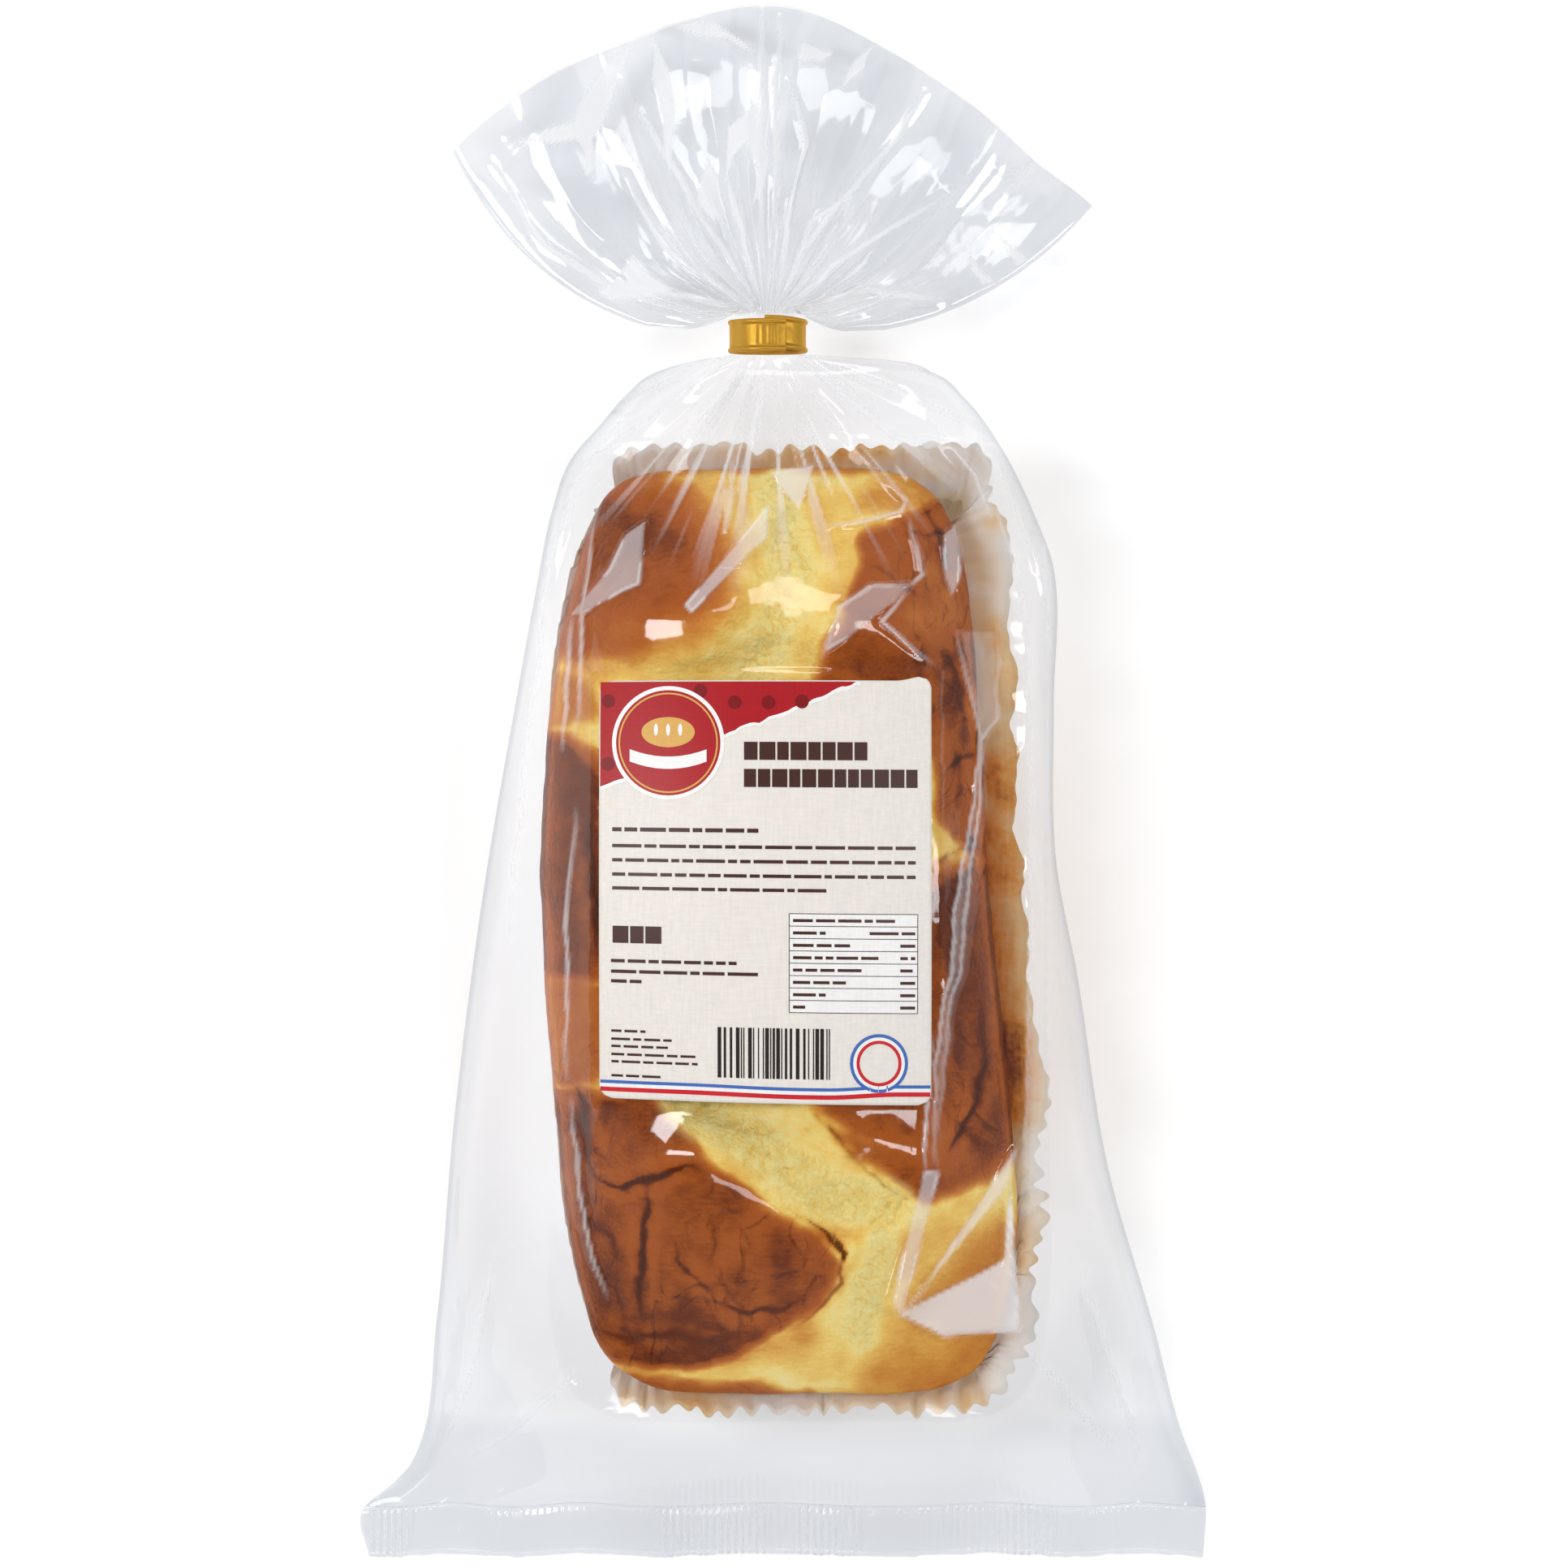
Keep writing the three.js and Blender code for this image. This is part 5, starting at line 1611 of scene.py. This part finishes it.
def film_material(name, wrinkle, gloss, tint, folded):
    """Clear film: light passes with a faint tint, and both its faces mirror like glass does.

    The mirrored share is the gloss times the Fresnel value at index 1.5, the same from either
    side, and never more than MOST_MIRRORED. The mark doubled turns the tint to that of film
    folded over itself, and the mark painted_highlight mixes in plain white diffuse: a painted
    highlight on creases, folds, facets and veils.
    """
    material, tree, output = new_material(name)
    wrinkles = place_group(tree, "film wrinkles", {"Fine": 0.6, "Depth": wrinkle})
    normal = wrinkles.outputs["Normal"]
    back = add_node(tree, "ShaderNodeNewGeometry").outputs["Backfacing"]
    index = rescaled(tree, back, 0, 1, FILM_INDEX, 1 / FILM_INDEX)
    fresnel = add_node(tree, "ShaderNodeFresnel", {"IOR": index, "Normal": normal}).outputs[0]
    share = calculate(tree, "MULTIPLY", calculate(tree, "MINIMUM", fresnel, MOST_MIRRORED), gloss,
                      use_clamp=True)
    passed = blended(tree, marked(tree, "doubled"), (*tint, 1), (*folded, 1))
    clear = add_node(tree, "ShaderNodeBsdfTransparent", {"Color": passed})
    mirror = add_node(tree, "ShaderNodeBsdfGlossy", {
        "Color": (1, 1, 1, 1), "Roughness": 0.07, "Normal": normal})
    both = add_node(tree, "ShaderNodeMixShader", {
        0: share, 1: clear.outputs[0], 2: mirror.outputs[0]})
    # Painted highlight: plain white diffuse mixed in by the mark
    painted_white = add_node(tree, "ShaderNodeBsdfDiffuse", {"Color": PAINTED_HIGHLIGHT_COLOUR})
    with_painted_white = add_node(tree, "ShaderNodeMixShader", {
        0: marked(tree, "painted_highlight"), 1: both.outputs[0], 2: painted_white.outputs[0]})
    return finished(material, tree, output, with_painted_white)


def paper_material(name, colour, roughness=0.5, fibre=1):
    """Coated paper or ink on it: a plain colour, lighter and darker along its linen fibres."""
    material, tree, output = new_material(name)
    fibres = place_group(tree, "paper fibres", {"Fibre Size": 1500, "Depth": fibre})
    value = rescaled(tree, fibres.outputs["Fibre"], 0.3, 0.7, 0.93, 1.05)
    tint = add_node(tree, "ShaderNodeHueSaturation", {"Color": (*colour, 1), "Value": value})
    surface = add_node(tree, "ShaderNodeBsdfPrincipled", {
        "Base Color": tint.outputs["Color"], "Roughness": roughness,
        "Specular IOR Level": 0.3, "Normal": fibres.outputs["Normal"]})
    return finished(material, tree, output, surface)


def gold_material():
    """Metallised gold band, satin, with faint dents and a slightly uneven gloss."""
    material, tree, output = new_material("gold_band")
    dents = noise(tree, own_place(tree), 420, 3)
    surface = add_node(tree, "ShaderNodeBsdfPrincipled", {
        "Base Color": (*srgb(*GOLD_COLOUR), 1), "Metallic": 0.8,
        "Roughness": rescaled(tree, dents, 0, 1, 0.42, 0.54),
        "Normal": bumped(tree, dents, DENT_BUMP, 0.5)})
    return finished(material, tree, output, surface)


def make_body(film):
    """The bag's body between the weld and the neck."""
    rings, painted_highlight, doubled = film_surface()
    faces = [sheet_faces(*painted_highlight.shape, ring=True)[:, ::-1]]
    return make_piece("bag_film", rings, faces, film, {"painted_highlight": painted_highlight, "doubled": doubled})


def make_weld(film):
    """The weld, evenly doubled, with painted highlights as dashes along its ribs."""
    weld = weld_points()
    x, y = weld[..., 0], weld[..., 1]
    ribs = np.clip(0.5 + 0.5 * np.sin(2 * np.pi * x / RIB_PITCH), 0, 1)
    dashes = smooth(1.6 * cloud(x, 0.4 * y, 13, 56, 2))
    # Painted highlight: dashes along the ribs
    marks = {"doubled": np.full(x.shape, DOUBLED_WELD), "painted_highlight": RIB_PAINTED_HIGHLIGHT * ribs ** 4 * dashes}
    return make_piece("bag_weld", weld, closed_tube(*x.shape), film, marks)


def make_ruffle(film):
    """The ruffle's two films, joined to closed rings along both its side folds."""
    halves = zip(ruffle_points(True), ruffle_points(False))
    rings, doubled, painted_highlight = (
        np.concatenate((upper, lower[:, -2:0:-1]), 1) for upper, lower in halves)
    faces = [sheet_faces(*painted_highlight.shape, ring=True)[:, ::-1]]
    return make_piece("bag_ruffle", rings, faces, film, {"doubled": doubled, "painted_highlight": painted_highlight})


def label_prints():
    """Each print's name, its ink, how high it lies on the paper, and its patches."""
    middle_x, middle_y = BADGE
    dots = [disc(spot, 0, 1.7) for spot in DOTS]
    bun = [disc(BADGE, BADGE_RADIUS - 2, BADGE_RADIUS - 1.6),
           disc((middle_x, middle_y - 2.6), 0, 6.6, 0.56)]
    slashes = [disc((middle_x + step, middle_y - 3.2), 0, 0.5, 3) for step in (-3, 0, 3)]
    return [
        ("print_field", "field", 0.05, [patch(0.25, 63.2, 0.3, torn_edge, 1.2)]),
        ("print_torn_rim", "white", 0.07, [patch(0.3, 64.5, torn_edge, torn_rim, 1.2)]),
        ("print_dots", "dark_field", 0.09, dots),
        ("print_badge_ring", "white", 0.1, [disc(BADGE, BADGE_RADIUS - 1, BADGE_RADIUS)]),
        ("print_badge", "badge", 0.11, [disc(BADGE, 0, BADGE_RADIUS - 1)]),
        ("print_badge_bun", "gold", 0.14, bun),
        ("print_badge_slashes", "white", 0.17, slashes),
        ("print_badge_ribbon", "white", 0.16, ribbon(3.4, 6.4)),
        ("print_table_ground", "white", 0.05, [patch(*TABLE)]),
        ("print_text", "brown", 0.08, text_print() + table_print()),
        ("print_bar_code", "black", 0.06, bar_code_print()),
        ("print_mark_blue", "blue", 0.06, [disc(MARK, 6.4, 7.2)] + stripe(-0.4, 0.8)),
        ("print_mark_white", "white", 0.06, [disc(MARK, 5.6, 6.4)] + stripe(0.4, 0.9)),
        ("print_mark_red", "red", 0.06, [disc(MARK, 4.8, 5.6)] + stripe(1.3, 1.1)),
    ]


class CaseSettings(bpy.types.PropertyGroup):
    """Size of the paper case that a user may change."""

    case_paper: FloatProperty(
        name="Case paper", description="Thickness of the case's baking paper",
        default=CASE_PAPER / 1000, min=0.00005, max=0.001, subtype="DISTANCE", unit="LENGTH")


class WrapSettings(bpy.types.PropertyGroup):
    """Finish of the clear film."""

    film_tint: FloatVectorProperty(
        name="Film tint", description="Share of red, green and blue light that the film passes",
        default=(0.975, 0.978, 0.985), min=0, max=1, size=3, subtype="COLOR")
    folded_tint: FloatVectorProperty(
        name="Folded tint", description="Share of light that film folded over itself passes",
        default=(0.82, 0.835, 0.855), min=0, max=1, size=3, subtype="COLOR")
    film_gloss: FloatProperty(
        name="Film gloss", description="Mirrored share, in Fresnel values of a single face",
        default=0.95, min=0, max=4, subtype="FACTOR")
    film_wrinkle: FloatProperty(
        name="Film wrinkles", description="Depth of the film's finest wrinkles, 0.5 mm at 1",
        default=0.26, min=0, max=3, subtype="FACTOR")


class LabelSettings(bpy.types.PropertyGroup):
    """Colours of the label's paper and its print."""

    paper: FloatVectorProperty(
        name="Paper", description="Colour of the label's paper", default=srgb(240, 234, 226),
        min=0, max=1, size=3, subtype="COLOR")
    field: FloatVectorProperty(
        name="Field", description="Colour of the field across the label's top left corner",
        default=srgb(178, 24, 34), min=0, max=1, size=3, subtype="COLOR")
    print_brown: FloatVectorProperty(
        name="Print", description="Colour of the bars that stand for the text",
        default=srgb(74, 44, 38), min=0, max=1, size=3, subtype="COLOR")


class StageSettings(bpy.types.PropertyGroup):
    """Light round the pack."""

    softbox: FloatProperty(
        name="Softbox", description="Power of each large soft lamp", default=5.3, min=0, max=100,
        subtype="POWER", unit="POWER")
    surround: FloatProperty(
        name="Surround", description="Brightness of the pale walls low round the stage",
        default=0.78, min=0, max=5)


class BRIOCHE_OT_loaf(bpy.types.Operator):
    """Build the braided loaf's crust"""

    bl_idname = "brioche.loaf"
    bl_label = "Loaf"

    def execute(self, context):
        x, y, z = crust_points(CRUST_COLUMNS, CRUST_ROWS)
        skin = np.stack((x, y, z), 2).reshape(-1, 3)
        points = np.concatenate((skin, [[*CASE_MIDDLE, LOAF_BASE_HEIGHT]]))
        grid = np.arange(len(skin)).reshape(x.shape)
        border = np.concatenate((grid[0], grid[1:, -1], grid[-1, -2::-1], grid[-2:0:-1, 0]))
        base = np.stack((border, np.full(len(border), len(skin)), np.roll(border, -1)), 1)
        faces = [sheet_faces(CRUST_ROWS, CRUST_COLUMNS), base]
        piece = make_piece("loaf_crust", points, faces, crust_material(), crust_marks(x, y, z))
        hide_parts("bag")
        return {"FINISHED"}


class BRIOCHE_OT_case(bpy.types.Operator):
    """Build the fluted paper case round the loaf"""

    bl_idname = "brioche.case"
    bl_label = "Paper case"

    def execute(self, context):
        points, level = case_points()
        wall = sheet_faces(CASE_LEVELS + 1, CASE_COLUMNS, ring=True)
        floor = fan_faces(0, CASE_COLUMNS, len(points) - 1, outward=False)
        x, y = points[:, 0], points[:, 1]
        patches = cloud(x, y + 0.6 * points[:, 2], 12, 36, 4)
        up = np.concatenate((np.zeros(CASE_COLUMNS), level.ravel(), [0]))
        stain = PATCH_STAIN * np.maximum(0, patches)
        for *oval, dark in CASE_STAINS:
            field = dark * bell(x, y, *oval)
            stain = stain + field * (1 + 0.35 * patches) * (1 - 0.35 * up ** 4)
        marks = {"stain": np.clip(stain, 0, 1)}
        piece = make_piece("paper_case", points, [wall, floor], case_material(), marks)
        thicken(piece, context.scene.brioche_case.case_paper, 1)
        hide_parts("bag")
        return {"FINISHED"}


class BRIOCHE_OT_bag(bpy.types.Operator):
    """Build the bag: its body, the welded end and the ruffle beyond the neck"""

    bl_idname = "brioche.bag"
    bl_label = "Film bag"

    def execute(self, context):
        wrap = context.scene.brioche_wrap
        film = film_material("clear_film", wrap.film_wrinkle, wrap.film_gloss, wrap.film_tint,
                             wrap.folded_tint)
        for piece in [make_body(film), make_weld(film), make_ruffle(film)]:
            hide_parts("bag")
        return {"FINISHED"}


class BRIOCHE_OT_tie(bpy.types.Operator):
    """Build the gold band wound round the neck"""

    bl_idname = "brioche.tie"
    bl_label = "Tie band"

    def execute(self, context):
        rings = tie_points()
        piece = make_piece("tie_band", rings, closed_tube(*rings.shape[:2]),
                           gold_material())
        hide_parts("tie")
        return {"FINISHED"}


class BRIOCHE_OT_label(bpy.types.Operator):
    """Build the label's paper and its plain print"""

    bl_idname = "brioche.label"
    bl_label = "Label"

    def execute(self, context):
        look = context.scene.brioche_label
        points = label_sheet_points()
        paper = paper_material("label_paper", look.paper)
        sheet = make_piece("label_sheet", points, [sheet_faces(*points.shape[:2])[:, ::-1]], paper)
        thicken(sheet, LABEL_THICKNESS / 1000, -1)
        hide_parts("label")

        colours = {"field": look.field, "badge": look.field, "brown": look.print_brown}
        colours.update({name: srgb(*colour) for name, colour in PRINT_COLOURS.items()})
        inks = {name: paper_material("ink_" + name, colour, 0.42, 0.6)
                for name, colour in colours.items()}
        for name, ink, lift, grids in label_prints():
            make_print(name, inks[ink], lift, grids)
        return {"FINISHED"}


class BRIOCHE_OT_stage(bpy.types.Operator):
    """Build the pale floor, the soft light and the camera straight above"""

    bl_idname = "brioche.stage"
    bl_label = "Stage"

    def execute(self, context):
        scene = context.scene
        look = scene.brioche_stage
        scene.view_settings.view_transform = "Standard"
        make_floor()
        make_surround(scene, look.surround)
        for spot, size, share in SOFTBOXES:
            make_softbox(spot, size, look.softbox * share)
        make_camera(scene)
        return {"FINISHED"}


def make_floor():
    """A wide pale floor just under the pack, lit a little from within like a light table."""
    mesh = bpy.data.meshes.new("floor")
    corners = [(x * FLOOR_REACH, y * FLOOR_REACH, FLOOR_LEVEL)
               for x, y in ((-1, -1), (1, -1), (1, 1), (-1, 1))]
    mesh.from_pydata(corners, [], [(0, 1, 2, 3)])
    floor = bpy.data.objects.new("floor", mesh)
    bpy.context.scene.collection.objects.link(floor)
    material, tree, output = new_material("pale_floor")
    surface = add_node(tree, "ShaderNodeBsdfPrincipled", {
        "Base Color": (0.88, 0.88, 0.885, 1), "Roughness": 0.9, "Specular IOR Level": 0.2,
        "Emission Color": (1, 1, 1, 1), "Emission Strength": 0.3})
    mesh.materials.append(finished(material, tree, output, surface))


def make_surround(scene, brightness):
    """Pale walls low all round, and a darker ceiling: the world's light by height."""
    world = bpy.data.worlds.new("surround")
    world.use_nodes = True
    tree = world.node_tree
    tree.nodes.clear()
    height = add_node(tree, "ShaderNodeSeparateXYZ", {
        0: add_node(tree, "ShaderNodeTexCoord").outputs["Generated"]}).outputs["Z"]
    ramp = add_node(tree, "ShaderNodeValToRGB", {"Fac": height})
    ramp.color_ramp.interpolation = "EASE"
    low, high = ramp.color_ramp.elements
    low.position, low.color = 0.42, (0.98, 0.985, 1, 1)
    high.position, high.color = 0.66, (0.03, 0.03, 0.032, 1)
    mirrored = add_node(tree, "ShaderNodeLightPath").outputs["Is Glossy Ray"]
    strength = rescaled(tree, mirrored, 0, 1, brightness, brightness * MIRRORED_WALLS)
    light = add_node(tree, "ShaderNodeBackground", {
        "Color": ramp.outputs["Color"], "Strength": strength})
    output = tree.nodes.new("ShaderNodeOutputWorld")
    tree.links.new(light.outputs[0], output.inputs["Surface"])
    scene.world = world


def make_camera(scene):
    """The camera straight above the middle of the pack, looking down."""
    camera = bpy.data.cameras.new("camera")
    camera.lens = CAMERA_LENS
    camera.sensor_width = CAMERA_SENSOR
    camera.clip_start, camera.clip_end = 0.05, 20
    viewer = bpy.data.objects.new("camera", camera)
    viewer.location = (0, 0, CAMERA_HEIGHT)
    scene.collection.objects.link(viewer)
    scene.camera = viewer


def make_softbox(spot, size, power):
    """A rectangular soft lamp at a spot, turned to face the middle of the pack."""
    lamp = bpy.data.lights.new("softbox", "AREA")
    lamp.shape = "RECTANGLE"
    lamp.size, lamp.size_y = size
    lamp.energy = power
    holder = bpy.data.objects.new("softbox", lamp)
    holder.location = spot
    holder.rotation_mode = "QUATERNION"
    holder.rotation_quaternion = (-Vector(spot)).to_track_quat("-Z", "Y")
    bpy.context.scene.collection.objects.link(holder)


class BRIOCHE_PT_panel(bpy.types.Panel):
    """The pack's pieces and their settings in the sidebar"""

    bl_idname = "BRIOCHE_PT_panel"
    bl_label = "Packed brioche"
    bl_space_type = "VIEW_3D"
    bl_region_type = "UI"
    bl_category = "Brioche"

    def draw(self, context):
        scene = context.scene
        for settings in (scene.brioche_case, scene.brioche_wrap, scene.brioche_label,
                         scene.brioche_stage):
            for name in settings.bl_rna.properties.keys():
                if name not in ("rna_type", "name"):
                    self.layout.prop(settings, name)
        for operator in OPERATORS:
            self.layout.operator(operator.bl_idname)


SETTINGS = {"brioche_case": CaseSettings, "brioche_wrap": WrapSettings,
            "brioche_label": LabelSettings, "brioche_stage": StageSettings}
OPERATORS = (BRIOCHE_OT_loaf, BRIOCHE_OT_case, BRIOCHE_OT_bag, BRIOCHE_OT_tie, BRIOCHE_OT_label,
             BRIOCHE_OT_stage)


def register():
    """Add the classes to Blender, and the settings to its scenes."""
    for part in (*SETTINGS.values(), *OPERATORS, BRIOCHE_PT_panel):
        bpy.utils.register_class(part)
    for name, settings in SETTINGS.items():
        setattr(bpy.types.Scene, name, PointerProperty(type=settings))


def unregister():
    """Take the settings and the classes away again."""
    for name in SETTINGS:
        delattr(bpy.types.Scene, name)
    for part in (BRIOCHE_PT_panel, *reversed(OPERATORS), *SETTINGS.values()):
        bpy.utils.unregister_class(part)


def main():
    """Build every piece in order."""
    register()
    make_groups()
    bpy.ops.brioche.loaf()
    bpy.ops.brioche.case()
    bpy.ops.brioche.bag()
    bpy.ops.brioche.tie()
    bpy.ops.brioche.label()
    bpy.ops.brioche.stage()


if __name__ == "__main__":
    main()
